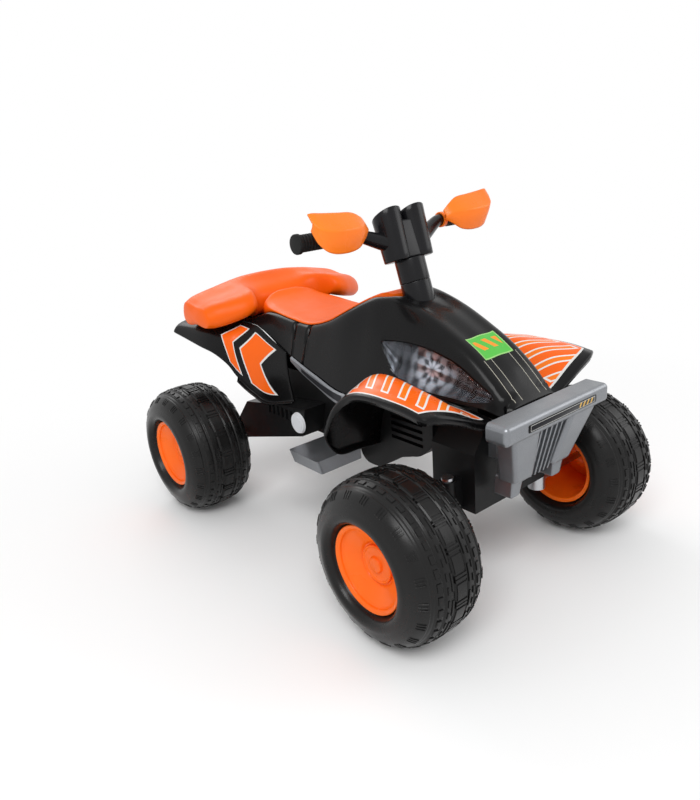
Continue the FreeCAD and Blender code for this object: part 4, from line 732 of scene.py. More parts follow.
plastics = {
    # dark and light of the moulded colour, roughness from and to, grain scale and depth, clear coat, shine
    "bodyBlack": tuple(blackGloss.values()),
    "seatOrange": ((0.87, 0.112, 0.001), (0.95, 0.135, 0.002), (0.34, 0.46), 1500, 0.00025),
    "guardOrange": ((0.93, 0.18, 0.012), (1.0, 0.225, 0.018), (0.24, 0.34), 800, 0.00015, 0.1),
    "rimOrange": ((0.92, 0.135, 0.005), (1.0, 0.17, 0.008), (0.26, 0.36), 800, 0.00015, 0.1),
    "tyreBlack": (
        (0.0055, 0.0053, 0.0053), (0.008, 0.0077, 0.0077), (0.24, 0.36), 1200, 0.0003, 0.0, 0.25),
    "chassisBlack": (
        (0.005, 0.005, 0.0053), (0.0075, 0.0075, 0.008), (0.32, 0.46), 1300, 0.0003, 0.0, 0.16),
    "handleBlack": (
        (0.0042, 0.0042, 0.0052), (0.0062, 0.0062, 0.0076), (0.2, 0.3), 700, 0.00015, 0.15, 0.15),
    "gripBlack": ((0.006, 0.006, 0.006), (0.009, 0.009, 0.009), (0.5, 0.62), 1800, 0.0004, 0.0, 0.15),
    "capWhite": ((0.62, 0.63, 0.66), (0.72, 0.73, 0.75), (0.3, 0.42), 900, 0.00015),
    "signalRed": ((0.42, 0.014, 0.01), (0.52, 0.02, 0.014), (0.25, 0.35), 900, 0.00015, 0.2),
    "batteryGrey": ((0.05, 0.05, 0.055), (0.065, 0.065, 0.07), (0.4, 0.55), 900, 0.0003),
    "bushNylon": ((0.62, 0.61, 0.57), (0.7, 0.69, 0.65), (0.4, 0.5), 900, 0.0002),
}

nodeFinish = (
    ("tyre_", "tyreBlack"), ("rim_", "rimOrange"), ("hub_cap", "rimOrange"), ("kingpin", "zincSteel"),
    ("steering_knuckle", "zincSteel"), ("steering_shaft", "zincSteel"), ("steering_bushes", "bushNylon"),
    ("rear_axle", "zincSteel"), ("tie_rod", "zincSteel"), ("saddle", "seatOrange"),
    ("backrest", "seatOrange"), ("hand_guard", "guardOrange"), ("bumper", "metallicGrey"),
    ("footrest", "metallicGrey"),
    ("side_trim", "trimGrey"), ("headlight_lens", "clearLens"), ("headlight_reflector", "chrome"),
    ("arm_cap", "capWhite"), ("grip", "gripBlack"), ("gauge_right", "gaugeDialRight"),
    ("gauge_left", "gaugeDialLeft"), ("throttle", "signalRed"),
    ("direction_switch", "signalRed"), ("battery", "batteryGrey"), ("drive_motor", "zincSteel"),
    ("upper_body", "bodyBlack"), ("front_fender", "bodyBlack"), ("rear_fender", "bodyBlack"),
    ("column_cover", "handleBlack"), ("handlebar", "handleBlack"), ("", "chassisBlack"),
)


finishes = {}


def makeFinishes():
    for name, numbers in plastics.items():
        finishes[name] = plasticFinish(name, *numbers).paint
    others = (metallicGrey, trimGrey, zincSteel, clearLens, chrome, hoodBlack, fenderGraphic, rearGraphic,
              bumperStripFinish)
    for make in others:
        finishes[make.__name__] = make().paint
    for name, side in (("gaugeDialRight", -1), ("gaugeDialLeft", 1)):
        finishes[name] = gaugeDial(name, side * handlebar["podX"]).paint


def dressFrame():
    for name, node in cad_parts.items():
        finish = next(f for start, f in nodeFinish if name.startswith(start))
        node.data.materials.clear()
        node.data.materials.append(finishes[finish])


# upper body: hood, seat deck and rear deck, with a window for each headlight

upperBody = {
    # behind the front axle, crown height, then half width and height of shoulder, flank and edge
    "stations": (
        (-83, 222, 50, 220, 58, 214, 60, 204),
        (-71, 233, 54, 230, 63, 218, 66, 202),
        (-35, 267, 57, 263, 69, 242, 78, 214),
        (5, 298, 58, 293, 76, 257, 90, 218),
        (55, 326, 59, 320, 83, 277, 100, 222),
        (105, 350, 60, 343, 88, 292, 106, 230),
        (155, 366, 61, 360, 92, 302, 110, 242),
        (193, 374, 63, 368, 95, 306, 117, 216),
        (217, 358, 66, 371, 97, 304, 124, 192),
        (240, 350, 70, 368, 99, 298, 128, 184),
        (295, 322, 84, 342, 106, 282, 130, 186),
        (355, 297, 90, 314, 108, 272, 127, 201),
        (418, 284, 92, 299, 110, 264, 124, 218),
        (480, 286, 92, 302, 108, 276, 120, 237),
        (567, 290, 92, 308, 108, 298, 126, 284),
        (605, 289, 95, 294, 115, 292, 132, 290),
        (655, 288, 98, 288, 118, 288, 138, 288),
        (783, 288, 98, 288, 118, 288, 140, 287),
    ),
    "wall": 3.5,
    "rowStep": 7,
    "crownColumns": 22,
    "flankColumns": 12,
    "noseRoll": ((-1.5, -1.5), (-2.2, -5), (-2.2, -12)),
}

headlight = {
    # behind the front axle, upper and lower edge
    "outline": (
        (-51, 234, 229), (-43, 240, 226), (-15, 257, 223), (25, 280, 226), (70, 295, 229),
        (115, 303, 239), (150, 304, 251), (170, 303, 278), (186, 302, 299),
    ),
    "clearance": 0.5,
    # how far inside the outline, how proud of the flank, the wall, and rows and columns
    "lens": {"inset": 0.3, "lift": 1.2, "wall": 2.0, "grid": (48, 12)},
    "reflector": {"inset": -1.5, "lift": -4.2, "wall": 1.2, "grid": (60, 20)},
    # depth of the bowl where the lamp is this high, its share at the edge,
    # and facets along and up with their depths
    "bowlDepth": 13,
    "bowlHeight": 50,
    "bowlEdge": 0.25,
    "facets": (15, 5),
    "facetDepth": (2.4, 1.6),
}


def worldPoint(x, behind, above):
    return Vector((x * mm, frontAxle + behind * mm, axleZ + above * mm))


def bodyControls(behind):
    crown, sx, sz, mx, mz, ex, ez = readAt(upperBody["stations"], behind)
    half = [(ex, ez), (mx, mz), (sx, sz), (sx / 2, crown + (sz - crown) * 0.2)]
    across = half + [(0, crown)] + [(-x, z) for x, z in reversed(half)]
    return [worldPoint(x, behind, z) for x, z in across]


bodyStart, bodyEnd = upperBody["stations"][0][0], upperBody["stations"][-1][0]
bodyMarks = chordMarks([bodyControls(d) for d in steps(bodyStart, bodyEnd, 43)])


def bodyCurve(behind, shares):
    # shares run from 0 on the crown to 1 at the right lower edge
    return naturalCurve(bodyControls(behind), bodyMarks, [0.5 + s / 2 for s in shares])


def flankShare(behind, above):
    # where the flank of a section reaches a height
    shares = steps(0.35, 1, 130)
    heights = [(p.z - axleZ) / mm for p in bodyCurve(behind, shares)]
    for i in range(1, len(shares)):
        if heights[i] <= above < heights[i - 1]:
            part = (heights[i - 1] - above) / (heights[i - 1] - heights[i])
            return shares[i - 1] + (shares[i] - shares[i - 1]) * part
    return shares[-1]


lampStart, lampEnd = headlight["outline"][0][0], headlight["outline"][-1][0]


def lampShares(behind, grow):
    # the window's upper and lower share at a station, closed outside the lamp
    inside = min(max(behind, lampStart), lampEnd)
    top, bottom = readAt(headlight["outline"], inside)
    if lampStart - grow < behind < lampEnd + grow:
        return flankShare(behind, top + grow), flankShare(behind, bottom - grow)
    middle = flankShare(behind, (top + bottom) / 2)
    return middle, middle


def bodyTop(behind, x):
    # height of the upper body at a distance from the middle plane
    spots = bodyCurve(behind, steps(0, 1, 80))
    for near, far in zip(spots, spots[1:]):
        if -far.x / mm >= x:
            part = (x * mm + near.x) / (near.x - far.x)
            return (near.z + (far.z - near.z) * part - axleZ) / mm
    return (spots[-1].z - axleZ) / mm


def makeUpperBody():
    size = upperBody
    grow = headlight["clearance"]
    places = steps(bodyStart, bodyEnd, round((bodyEnd - bodyStart) / size["rowStep"]))
    places = sorted(places + [lampStart - grow, lampEnd + grow])
    rows = []
    for behind in places:
        top, bottom = lampShares(behind, grow)
        shares = steps(0, top, size["crownColumns"]) + steps(bottom, 1, size["flankColumns"])
        half = bodyCurve(behind, shares)
        rows.append([Vector((-p.x, p.y, p.z)) for p in reversed(half[1:])] + half)
    lead = [[p + Vector((0, y * mm, z * mm)) for p in rows[0]] for y, z in reversed(size["noseRoll"])]
    tail = [[p + Vector((0, -y * mm, z * mm)) for p in rows[-1]] for y, z in size["noseRoll"]]
    rows = lead + rows + tail
    middle = size["crownColumns"] + size["flankColumns"] + 1
    windows = (size["flankColumns"], 2 * middle - size["flankColumns"] - 1)
    piece = walled(gridPiece("upperBody", rows, skip=lambda i, j: j in windows), (0, 0, 1), size["wall"])
    place(piece, "chassis", ["upper_body"], "hoodBlack", "body_black")


def lampPatch(name, size, sink):
    # a patch of the right flank inside the lamp's outline
    inset = size["inset"]
    rows, columns = size["grid"]
    grid = []
    for behind in steps(lampStart + inset, lampEnd - inset, rows):
        top, bottom = lampShares(behind, -inset)
        line = bodyCurve(behind, steps(top, max(bottom, top + 0.002), columns))
        side = (line[-1] - line[0]).cross(Vector((0, 1, 0))).normalized()
        if side.x > 0:
            side.negate()
        grid.append([p + side * (size["lift"] - sink(behind, j / columns)) * mm for j, p in enumerate(line)])
    return walled(gridPiece(name, grid), (-1, 0, 0), size["wall"])


def bowlDepth(behind, share):
    # a bowl with ridged facets, share running from its upper to its lower edge
    size = headlight
    top, bottom = readAt(size["outline"], min(max(behind, lampStart), lampEnd))
    deep = size["bowlDepth"] * min(1, (top - bottom) / size["bowlHeight"])
    dish = size["bowlEdge"] + (1 - size["bowlEdge"]) * math.sin(math.pi * share)
    shares = ((behind - lampStart) / (lampEnd - lampStart), share)
    ridges = [abs(s * count % 2 - 1) for s, count in zip(shares, size["facets"])]
    return deep * dish - sum(r * d for r, d in zip(ridges, size["facetDepth"]))


def makeHeadlights():
    lens = lampPatch("headlightLensRight", headlight["lens"], lambda behind, share: 0)
    placePair(lens, "chassis", "headlight_lens", "clearLens", "lens_clear")
    mirror = lampPatch("headlightReflectorRight", headlight["reflector"], bowlDepth)
    mirror.data.shade_flat()
    placePair(mirror, "chassis", "headlight_reflector", "chrome", "reflector_silver")


# fenders, each a pressed sheet with a rolled lip

frontFender = {
    # half width, then points (behind the front axle, above the axle) over the wheel
    "paths": (
        (72, -59, 198, -20, 203, 35, 206, 95, 211, 143, 218, 177, 199, 203, 152, 217, 97),
        (100, -59, 202, -20, 210, 35, 215, 95, 223, 143, 229, 177, 211, 203, 157, 217, 98),
        (155, -62, 226, -20, 244, 35, 256, 95, 265, 143, 260, 177, 232, 203, 170, 217, 102),
        (205, -58, 245, -18, 254, 38, 260, 95, 261, 140, 250, 173, 224, 199, 174, 216, 110),
        (228, -49, 246, -10, 252, 40, 254, 93, 252, 137, 241, 169, 219, 195, 186, 213, 148),
    ),
    "wall": 3.0,
    "across": 40,
    "along": 64,
    "lip": ((1.6, -0.6), (3.0, -2.2), (3.6, -5), (3.2, -13)),
}

rearFender = {
    # lower edge, bulge and upper edge, each as half width, behind the front axle, above the axle
    "stations": (
        (0, 120, 465, 128, 125, 468, 182, 122.5, 473, 236),
        (1, 140, 537, 115, 139, 528, 192, 128.5, 520, 262),
        (2, 158, 570, 136, 153, 564, 214, 132, 560, 284),
        (3, 176, 597, 167, 168, 594, 238, 135, 590, 289),
        (4, 192, 611, 202, 180, 614, 258, 137.5, 618, 289),
        (5, 208, 640, 228, 191, 648, 270, 141, 656, 288),
        (6, 220, 685, 242, 199, 694, 276, 141.5, 700, 288),
        (7, 230, 782, 263, 206, 783, 280, 141.5, 783, 287),
    ),
    "wall": 3.0,
    "along": 90,
    "across": 30,
    "lip": ((1.4, -0.4), (2.6, -1.8), (3.0, -4), (2.4, -9)),
}


def rolledLip(name, border, insides, ups, profile):
    # a strip that leaves the sheet along its border and rolls down
    rows = [border]
    for out, drop in profile:
        row = []
        for p, inner, up in zip(border, insides, ups):
            row.append(p + (p - inner).normalized() * out * mm + up * drop * mm)
        rows.append(row)
    return gridPiece(name, rows)


def gridBorder(rows, edges):
    # border points of a grid along the named edges, each with a neighbour further inside
    count, width = len(rows), len(rows[0])
    runs = {
        "start": [((i, 0), (i, 2)) for i in range(count)],
        "outer": [((count - 1, j), (count - 3, j)) for j in range(width)],
        "end": [((i, width - 1), (i, width - 3)) for i in range(count)],
    }
    spots = []
    for edge, back in edges:
        run = runs[edge][::-1] if back else runs[edge]
        spots += [s for s in run if not spots or s[0] != spots[-1][0]]
    border = [rows[i][j] for (i, j), inner in spots]
    insides = [rows[a][b] for where, (a, b) in spots]
    ups = []
    for (i, j), inner in spots:
        i0, j0 = min(max(i, 1), count - 2), min(max(j, 1), width - 2)
        normal = (rows[i0 + 1][j0] - rows[i0 - 1][j0]).cross(rows[i0][j0 + 1] - rows[i0][j0 - 1])
        ups.append(normal.normalized() * (1 if normal.z > 0 else -1))
    return border, insides, ups


def pressedSheet(name, rows, edges, size):
    sheet = gridPiece(name + "Sheet", rows)
    lip = rolledLip(name + "Lip", *gridBorder(rows, edges), size["lip"])
    for loop in lip.data.uv_layers["surface"].data:
        loop.uv = (-1, -1)
    return walled(joinMeshes(name, [sheet, lip]), (-0.3, 0, 1), size["wall"])


def makeFrontFenders():
    size = frontFender
    rows = []
    for x in steps(size["paths"][0][0], size["paths"][-1][0], size["across"]):
        numbers = readAt(size["paths"], x)
        rows.append([worldPoint(-x, y, z) for y, z in zip(numbers[::2], numbers[1::2])])
    marks = chordMarks(rows)
    rows = [naturalCurve(row, marks, steps(0, 1, size["along"])) for row in rows]
    right = pressedSheet("frontFenderRight", rows, (("start", False), ("outer", False), ("end", True)), size)
    placePair(right, "chassis", "front_fender", "fenderGraphic", "body_black")


def makeRearFenders():
    size = rearFender
    rows = []
    for spot in steps(0, size["stations"][-1][0], size["along"]):
        n = readAt(size["stations"], spot)
        rows.append([worldPoint(-n[k], n[k + 1], n[k + 2]) for k in (6, 3, 0)])
    marks = chordMarks(rows)
    rows = [naturalCurve(row, marks, steps(0, 1, size["across"])) for row in rows]
    right = pressedSheet("rearFenderRight", rows, (("end", False), ("outer", True)), size)
    placePair(right, "chassis", "rear_fender", "rearGraphic", "body_black")


# saddle and backrest: plump mouldings in one colour

saddle = {
    # behind the front axle, half width and top
    "stations": (
        (221, 40, 374), (238, 54, 379), (295, 82, 349), (355, 90, 321), (418, 92, 305),
        (480, 92, 308), (567, 88, 320), (605, 82, 331), (626, 74, 343),
    ),
    "clearance": 0.8,
    "plump": 0.5,
    "leastLift": 6,
    # ends draw in over this length, to this share of the width
    "endLength": 14,
    "endShare": 0.6,
    "underShare": 0.96,
    "dish": 3.0,
    "dishShare": 0.8,
    "ribStart": 262,
    "ribStep": 15,
    "ribCount": 9,
    "ribDepth": 1.3,
    "ribSharp": 7,
    "rows": 130,
    "columns": 44,
}

backrest = {
    # half width, front, rear, low front, low rear, high front, high rear, behind the front axle
    "stations": (
        (0, 647, 739, 290, 290, 338, 373),
        (60, 643, 739, 290, 290, 341, 371),
        (92, 626, 740, 291, 290, 350, 366),
        (112, 582, 740, 314, 290, 348, 361),
        (136, 574, 741, 308, 290, 342, 356),
        (168, 588, 742, 298, 290, 335, 350),
        (200, 608, 742, 290, 288, 329, 343),
        (216, 620, 741, 290, 289, 323, 335),
    ),
    # rounding of the section: front and rear edge of the top, side edges, foot,
    # and the rise between the edges
    "topRoll": (9, 12),
    "sideRoll": (2, 6),
    "footRoll": 8,
    "crown": 4,
    "rows": 64,
    "columns": 48,
    "endRows": 8,
    "endReach": 8,
    "endLeast": 0.05,
}


def makeSaddle():
    size = saddle
    first, last = size["stations"][0][0], size["stations"][-1][0]
    half = size["columns"] // 2
    rows = []
    for behind in steps(first, last, size["rows"]):
        wide, top = readAt(size["stations"], behind)
        end = min(behind - first, last - behind, size["endLength"])
        wide *= size["endShare"] + (1 - size["endShare"]) * math.sqrt(end / size["endLength"])
        turn = (behind - size["ribStart"]) / size["ribStep"]
        ribbed = -0.5 < turn < size["ribCount"] - 0.5
        groove = math.exp(-((turn - round(turn)) * size["ribSharp"]) ** 2) if ribbed else 0
        hollow = size["dish"] + size["ribDepth"] * groove
        row = []
        for t in steps(math.pi, 0, half):
            share = math.cos(t)
            x = wide * math.copysign(abs(share) ** size["plump"], share)
            base = bodyTop(behind, abs(x)) + size["clearance"]
            lift = max(top - base, size["leastLift"]) * math.sin(t) ** size["plump"]
            middle = max(0, 1 - (abs(x) / (size["dishShare"] * wide)) ** 4)
            row.append(worldPoint(x, behind, base + lift - hollow * middle))
        for share in steps(size["underShare"], -size["underShare"], half):
            x = wide * share
            row.append(worldPoint(x, behind, bodyTop(behind, abs(x)) + size["clearance"]))
        rows.append(row)
    place(loopPiece("saddle", rows), "chassis", ["saddle"], "seatOrange", "seat_orange")


def backrestSection(numbers, x, shrink):
    front, rear, lowFront, lowRear, highFront, highRear = numbers
    edge, rise = backrest["sideRoll"]
    foot = backrest["footRoll"]
    loop = [
        (front + edge, lowFront + rise),
        (front, (lowFront + highFront) / 2),
        (front + backrest["topRoll"][0], highFront),
        ((front + rear) / 2, (highFront + highRear) / 2 + backrest["crown"]),
        (rear - backrest["topRoll"][1], highRear),
        (rear, (lowRear + highRear) / 2),
        (rear - edge, lowRear + rise),
        (rear - foot, lowRear),
        ((front + rear) / 2, (lowFront + lowRear) / 2),
        (front + foot, lowFront),
    ]
    cy = sum(p[0] for p in loop) / len(loop)
    cz = sum(p[1] for p in loop) / len(loop)
    return [worldPoint(x, cy + (y - cy) * shrink, cz + (z - cz) * shrink) for y, z in loop]


def closedCurve(points, count):
    # a smooth loop through points: the curve runs three points past each end and is trimmed
    pad = points[-3:] + points + points[:4]
    marks = chordMarks([pad])
    first, last = marks[3], marks[3 + len(points)]
    return naturalCurve(pad, marks, steps(first, last, count)[:-1])


def makeBackrest():
    size = backrest
    rows = [(-r[0],) + r[1:] for r in reversed(size["stations"][1:])] + list(size["stations"])
    reach = size["stations"][-1][0]
    loops = []
    for i in range(-size["endRows"], size["rows"] * 2 + size["endRows"] + 1):
        beyond = max(-i, i - size["rows"] * 2, 0)
        share = min(max(i / (size["rows"] * 2), 0), 1)
        x = -reach + 2 * reach * share
        numbers = readAt(rows, x)
        turn = beyond / size["endRows"] * math.pi / 2
        x += math.copysign(size["endReach"] * math.sin(turn), x)
        shrink = max(math.cos(turn), size["endLeast"])
        loops.append(closedCurve(backrestSection(numbers, x, shrink), size["columns"]))
    place(loopPiece("backrest", loops), "chassis", ["backrest"], "seatOrange", "seat_orange")


# repeats with geometry nodes

def makeRepeatTree():
    # copies of the geometry, each moved by a step and turned about the origin after the last
    tree = bpy.data.node_groups.new("repeatOf", "GeometryNodeTree")
    for name, kind in (("Geometry", "Geometry"), ("Count", "Int"), ("Step", "Vector"), ("Turn", "Vector"),
                       ("Finish", "Material")):
        tree.interface.new_socket(name, in_out="INPUT", socket_type="NodeSocket" + kind)
    tree.interface.new_socket("Geometry", in_out="OUTPUT", socket_type="NodeSocketGeometry")
    add, link = tree.nodes.new, tree.links.new
    given, index = add("NodeGroupInput"), add("GeometryNodeInputIndex")
    moves = []
    for name in ("Step", "Turn"):
        scaled = add("ShaderNodeVectorMath")
        scaled.operation = "SCALE"
        link(given.outputs[name], scaled.inputs[0])
        link(index.outputs[0], scaled.inputs["Scale"])
        moves.append(scaled.outputs[0])
    points, turn = add("GeometryNodePoints"), add("FunctionNodeEulerToRotation")
    link(given.outputs["Count"], points.inputs["Count"])
    link(moves[0], points.inputs["Position"])
    link(moves[1], turn.inputs[0])
    copies = add("GeometryNodeInstanceOnPoints")
    link(points.outputs[0], copies.inputs["Points"])
    link(given.outputs["Geometry"], copies.inputs["Instance"])
    link(turn.outputs[0], copies.inputs["Rotation"])
    real, paint = add("GeometryNodeRealizeInstances"), add("GeometryNodeSetMaterial")
    out = add("NodeGroupOutput")
    link(copies.outputs[0], real.inputs[0])
    link(real.outputs[0], paint.inputs["Geometry"])
    link(given.outputs["Finish"], paint.inputs["Material"])
    link(paint.outputs[0], out.inputs[0])
    return tree


repeatTree = makeRepeatTree()
repeatSockets = {s.name: s.identifier for s in repeatTree.interface.items_tree if s.in_out == "INPUT"}


def repeated(seed, count, finish, step=(0, 0, 0), turn=(0, 0, 0)):
    copies = seed.modifiers.new("repeat", "NODES")
    copies.node_group = repeatTree
    for name, value in (("Count", count), ("Step", step), ("Turn", turn), ("Finish", finish)):
        copies[repeatSockets[name]] = value
    return settled(seed)


def turnedPiece(name, profile, count=96, closed=False):
    # a profile of (along X, radius) turned about the X axis
    rows = []
    for i in range(count):
        a = 2 * math.pi * i / count
        rows.append([Vector((x * mm, r * mm * math.sin(a), r * mm * math.cos(a))) for x, r in profile])
    piece = gridPiece(name, rows, closeRows=True, closeCols=closed)
    outward(piece)
    return piece


def rounded(points, corner=1.5, cuts=4):
    # a polyline with its inner corners rounded; a third entry is a corner's own radius
    found = [tuple(points[0][:2])]
    for before, here, after in zip(points, points[1:], points[2:]):
        radius = here[2] if len(here) > 2 else corner
        p, a, b = (Vector(q[:2]) for q in (here, before, after))
        cut = min(radius, (a - p).length * 0.45, (b - p).length * 0.45)
        start, stop = p + (a - p).normalized() * cut, p + (b - p).normalized() * cut
        for t in steps(0, 1, cuts):
            found.append(tuple(start * (1 - t) ** 2 + p * 2 * t * (1 - t) + stop * t ** 2))
    return found + [tuple(points[-1][:2])]


# wheels

tyre = {
    # half width and radius from the bead over the sidewall to the middle of the tread
    "profile": (
        (62.6, 72.6), (62.6, 76), (65, 79.5), (71, 82), (77, 85), (80.6, 89.5), (81.6, 95), (81, 100),
        (79.3, 105), (76.8, 112), (73, 120), (69, 126), (61, 133.4), (50, 139.6), (38, 143.2), (26, 145.2),
        (12, 146), (0, 146),
    ),
    "profileCuts": 120,
    "crownStart": 4,
    # middle, half width and depth
    "grooves": ((14, 2.6, 3.2), (33, 2.0, 2.6), (50, 1.6, 1.6), (54.5, 1.6, 1.6)),
    "grooveEdge": 0.8,
    "wall": 5.0,
    "segments": 160,
}

tread = {
    # count round the tyre, x from and to, length, turn as a share of a pitch, lift,
    # and whether on both sides
    "pads": (
        (20, (-10.5, 10.5), 27, 0.0, 1.9, False),
        (20, (-12.5, 12.5), 4.2, 0.43, 1.9, False),
        (20, (-12.5, 12.5), 4.2, 0.57, 1.9, False),
        (20, (17, 20.5), 30, 0.5, 1.9, True),
        (40, (26, 29), 12, 0.25, 2.0, True),
        (40, (38, 46), 14, 0.0, 2.2, True),
        (20, (60, 71), 3.2, 0.0, 2.0, True),
        (20, (60, 71), 3.2, 0.14, 2.0, True),
        (20, (60, 71), 3.2, 0.28, 2.0, True),
    ),
    "pitchCount": 20,
    "grid": (4, 6),
    "sink": 4,
    # a soft edge in millimetres, and its turn for each millimetre
    "edge": 0.6,
    "edgeTurn": 0.006,
}

rim = {
    # along the axle outwards and radius, from the back of the barrel to the axle hole
    "profile": (
        (-67, 77), (-63, 77.4), (-63, 72), (63, 72), (63, 77.4, 1), (65.5, 78.2), (67.5, 77, 1.5),
        (66.5, 72, 2), (61, 69.5, 2), (57, 66, 3), (49, 51, 6), (43, 40, 3), (38.6, 37, 1.5), (38.6, 7.2),
    ),
    "wall": 3,
    "segments": 96,
}

hubCap = {
    # along the axle outwards and radius
    "profile": (
        (38.4, 34), (43, 34, 1.5), (44.6, 31, 1.5), (42.2, 29, 1), (42.2, 15, 1), (47.6, 13, 2), (48.4, 0),
    ),
}

wheels = (
    # name, node, side, axle place and the body that carries the hub cap
    ("FrontRight", "front_right", -1, frontAxle, "knuckle_right"),
    ("FrontLeft", "front_left", 1, frontAxle, "knuckle_left"),
    ("RearRight", "rear_right", -1, rearAxle, "wheel_rear_right"),
    ("RearLeft", "rear_left", 1, rearAxle, "wheel_rear_right"),
)


def faceOut(piece):
    # a turned skin looks away from its axis
    total = 0.0
    for f in piece.data.polygons:
        total += f.normal.dot(Vector((0, f.center.y, f.center.z)).normalized()) * f.area
    if total < 0:
        piece.data.flip_normals()


def crownRadius(x):
    rows = tuple((-a, r) for a, r in tyre["profile"])[tyre["crownStart"]:]
    return readAt(rows, -abs(x))[0]


def treadPad(name, pad, mirror):
    # one raised block of the tread, at the top of the wheel
    ends, length, shift, lift = pad[1:-1]
    edge = tread["edge"]
    wide, long = tread["grid"]
    reach = length / 2 / tyre["profile"][-1][1]
    centre = shift * 2 * math.pi / tread["pitchCount"]

    def grid(inset, up):
        short = reach - inset * tread["edgeTurn"]
        rows = []
        for x in steps(ends[0] + inset, ends[1] - inset, wide):
            r = (crownRadius(x) + up) * mm
            turns = [a + centre for a in steps(-short, short, long)]
            rows.append([Vector((x * mirror * mm, r * math.sin(a), r * math.cos(a))) for a in turns])
        return rows

    def border(rows):
        return [r[0] for r in rows] + rows[-1][1:-1] + [r[-1] for r in reversed(rows)] + rows[0][-2:0:-1]

    top = grid(edge, lift)
    loops = [border(rows) for rows in (grid(0, -tread["sink"]), grid(0, lift - edge), top)]
    piece = joinMeshes(name, [gridPiece("padSides", loops, closeCols=True), gridPiece("padTop", top)])
    outward(piece)
    faceTowards(piece, (0, 0, 1))
    piece.data.shade_flat()
    return piece


def tyreProfile():
    points = [Vector((x, r, 0)) for x, r in tyre["profile"]]
    half = []
    for p in naturalCurve(points, chordMarks([points]), steps(0, 1, tyre["profileCuts"])):
        drop = 0
        for middle, wide, deep in tyre["grooves"]:
            share = (wide + tyre["grooveEdge"] - abs(p.x - middle)) / tyre["grooveEdge"]
            drop = max(drop, deep * min(1, max(0, share)))
        half.append((p.x, p.y - drop))
    return half + [(-x, r) for x, r in reversed(half[:-1])]


def makeTread():
    pads = []
    for number, pad in enumerate(tread["pads"]):
        for mirror in (1, -1) if pad[-1] else (1,):
            seed = treadPad("pad%d" % number, pad, mirror)
            turn = (2 * math.pi / pad[0], 0, 0)
            pads.append(repeated(seed, pad[0], finishes["tyreBlack"], turn=turn))
    blocks = joinMeshes("treadSeed", pads)
    blocks.data.shade_flat()
    return blocks


def makeWheels():
    carcass = turnedPiece("tyreSeed", tyreProfile(), tyre["segments"])
    faceOut(carcass)
    thicken(carcass, tyre["wall"])
    barrel = turnedPiece("rimSeed", rounded(rim["profile"]), rim["segments"])
    faceOut(barrel)
    thicken(barrel, rim["wall"])
    cap = turnedPiece("capSeed", rounded(hubCap["profile"]), rim["segments"])
    closeEnds(cap)
    kinds = (
        (carcass, "tyre", "tyreBlack", "tyre_black", "tyre_"),
        (makeTread(), "tread", "tyreBlack", "tyre_black", None),
        (barrel, "rim", "rimOrange", "rim_orange", "rim_"),
        (cap, "hubCap", "rimOrange", "rim_orange", "hub_cap_"),
    )
    for title, node, side, axle, capBody in wheels:
        turn = Matrix.Rotation(0 if side > 0 else math.pi, 4, "Z")
        spot = Matrix.Translation((side * wheelX, axle, axleZ)) @ turn
        for seed, kind, finish, slotName, start in kinds:
            mesh = seed.data.copy()
            mesh.transform(spot)
            body = capBody if kind == "hubCap" else "wheel_" + node
            place(newPiece(kind + title, mesh), body, [start + node] if start else [], finish, slotName)
    for kind in kinds:
        bpy.data.objects.remove(kind[0])


# column, handlebar, grips and hand guards, in a frame whose Z axis is the leaning steering column

column = {
    "foot": (0, -0.164, 0.524),
    "lean": 17.3,
    # along the column and radius
    "collar": ((-27, 17.5), (-27, 29), (20, 29, 1.5), (20, 17.5, 0.5), (-27, 17.5)),
    "cover": ((20.4, 8.6), (20.4, 29, 1.5), (64, 29, 2), (64, 8.6)),
}
columnFrame = Matrix.Translation(column["foot"]) @ Matrix.Rotation(-math.radians(column["lean"]), 4, "X")

handlebar = {
    # millimetres in the column's frame: X to the left, Y to the rear, Z along the column
    "podX": 30,
    "podFoot": 64,
    "podHead": 152,
    "podSlant": 18,
    "podRadius": (25, 29),
    "podTaperLength": 102.5,
    "podSegments": 72,
    # rings of a pod's foot, wall and rim: how far in, share of the height and drop from the top
    "podRings": (
        ((24.8, 0, 0), (2.2, 0, 0), (0.6, 0.008, 0))
        + tuple((0, share, 1.4) for share in steps(0.025, 1, 10))
        + ((0.5, 1, 0.4), (1.5, 1, 0))
    ),
    # radius and depth below the slanted top
    "recess": ((25.8, 0), (25.1, 0.8), (25, 6), (0.2, 6)),
    "bridge": {"x": 30, "z": (64, 136), "corner": 6},
    "bridgeDepth": ((3.5, -19), (1.0, -18.2), (0, -16), (0, 23.6), (1.2, 25)),
    "switch": {"x": 12, "z": (94, 114), "corner": 1.5},
    "switchDepth": (25, 16),
    # half width and top of the room that the pods leave the switch
    "switchRoom": (12.7, 122),
    # arm and tube: x, y, z, radius
    "arm": (
        (22, 0, 92, 19), (40, 0, 99, 17), (62, 3, 108, 14.6), (86, 6.5, 118.5, 12.4), (103, 9, 125.5, 11.4),
        (114, 10, 128, 11), (128, 10, 128, 11), (180, 10, 128, 11), (234, 10, 128, 11),
    ),
    # the throttle button's boss, off the bar's middle and its radius, and the flat in the bar under it
    "boss": ((2, 0), (2, 10), (17, 10, 1.2), (17, 7.5, 0.4), (9.2, 7.5, 0.4), (9.2, 0)),
    "bossX": -100,
    "bossSeat": (9.9, 8.4),
    "barY": 10,
    "barZ": 128,
    "segments": 48,
}

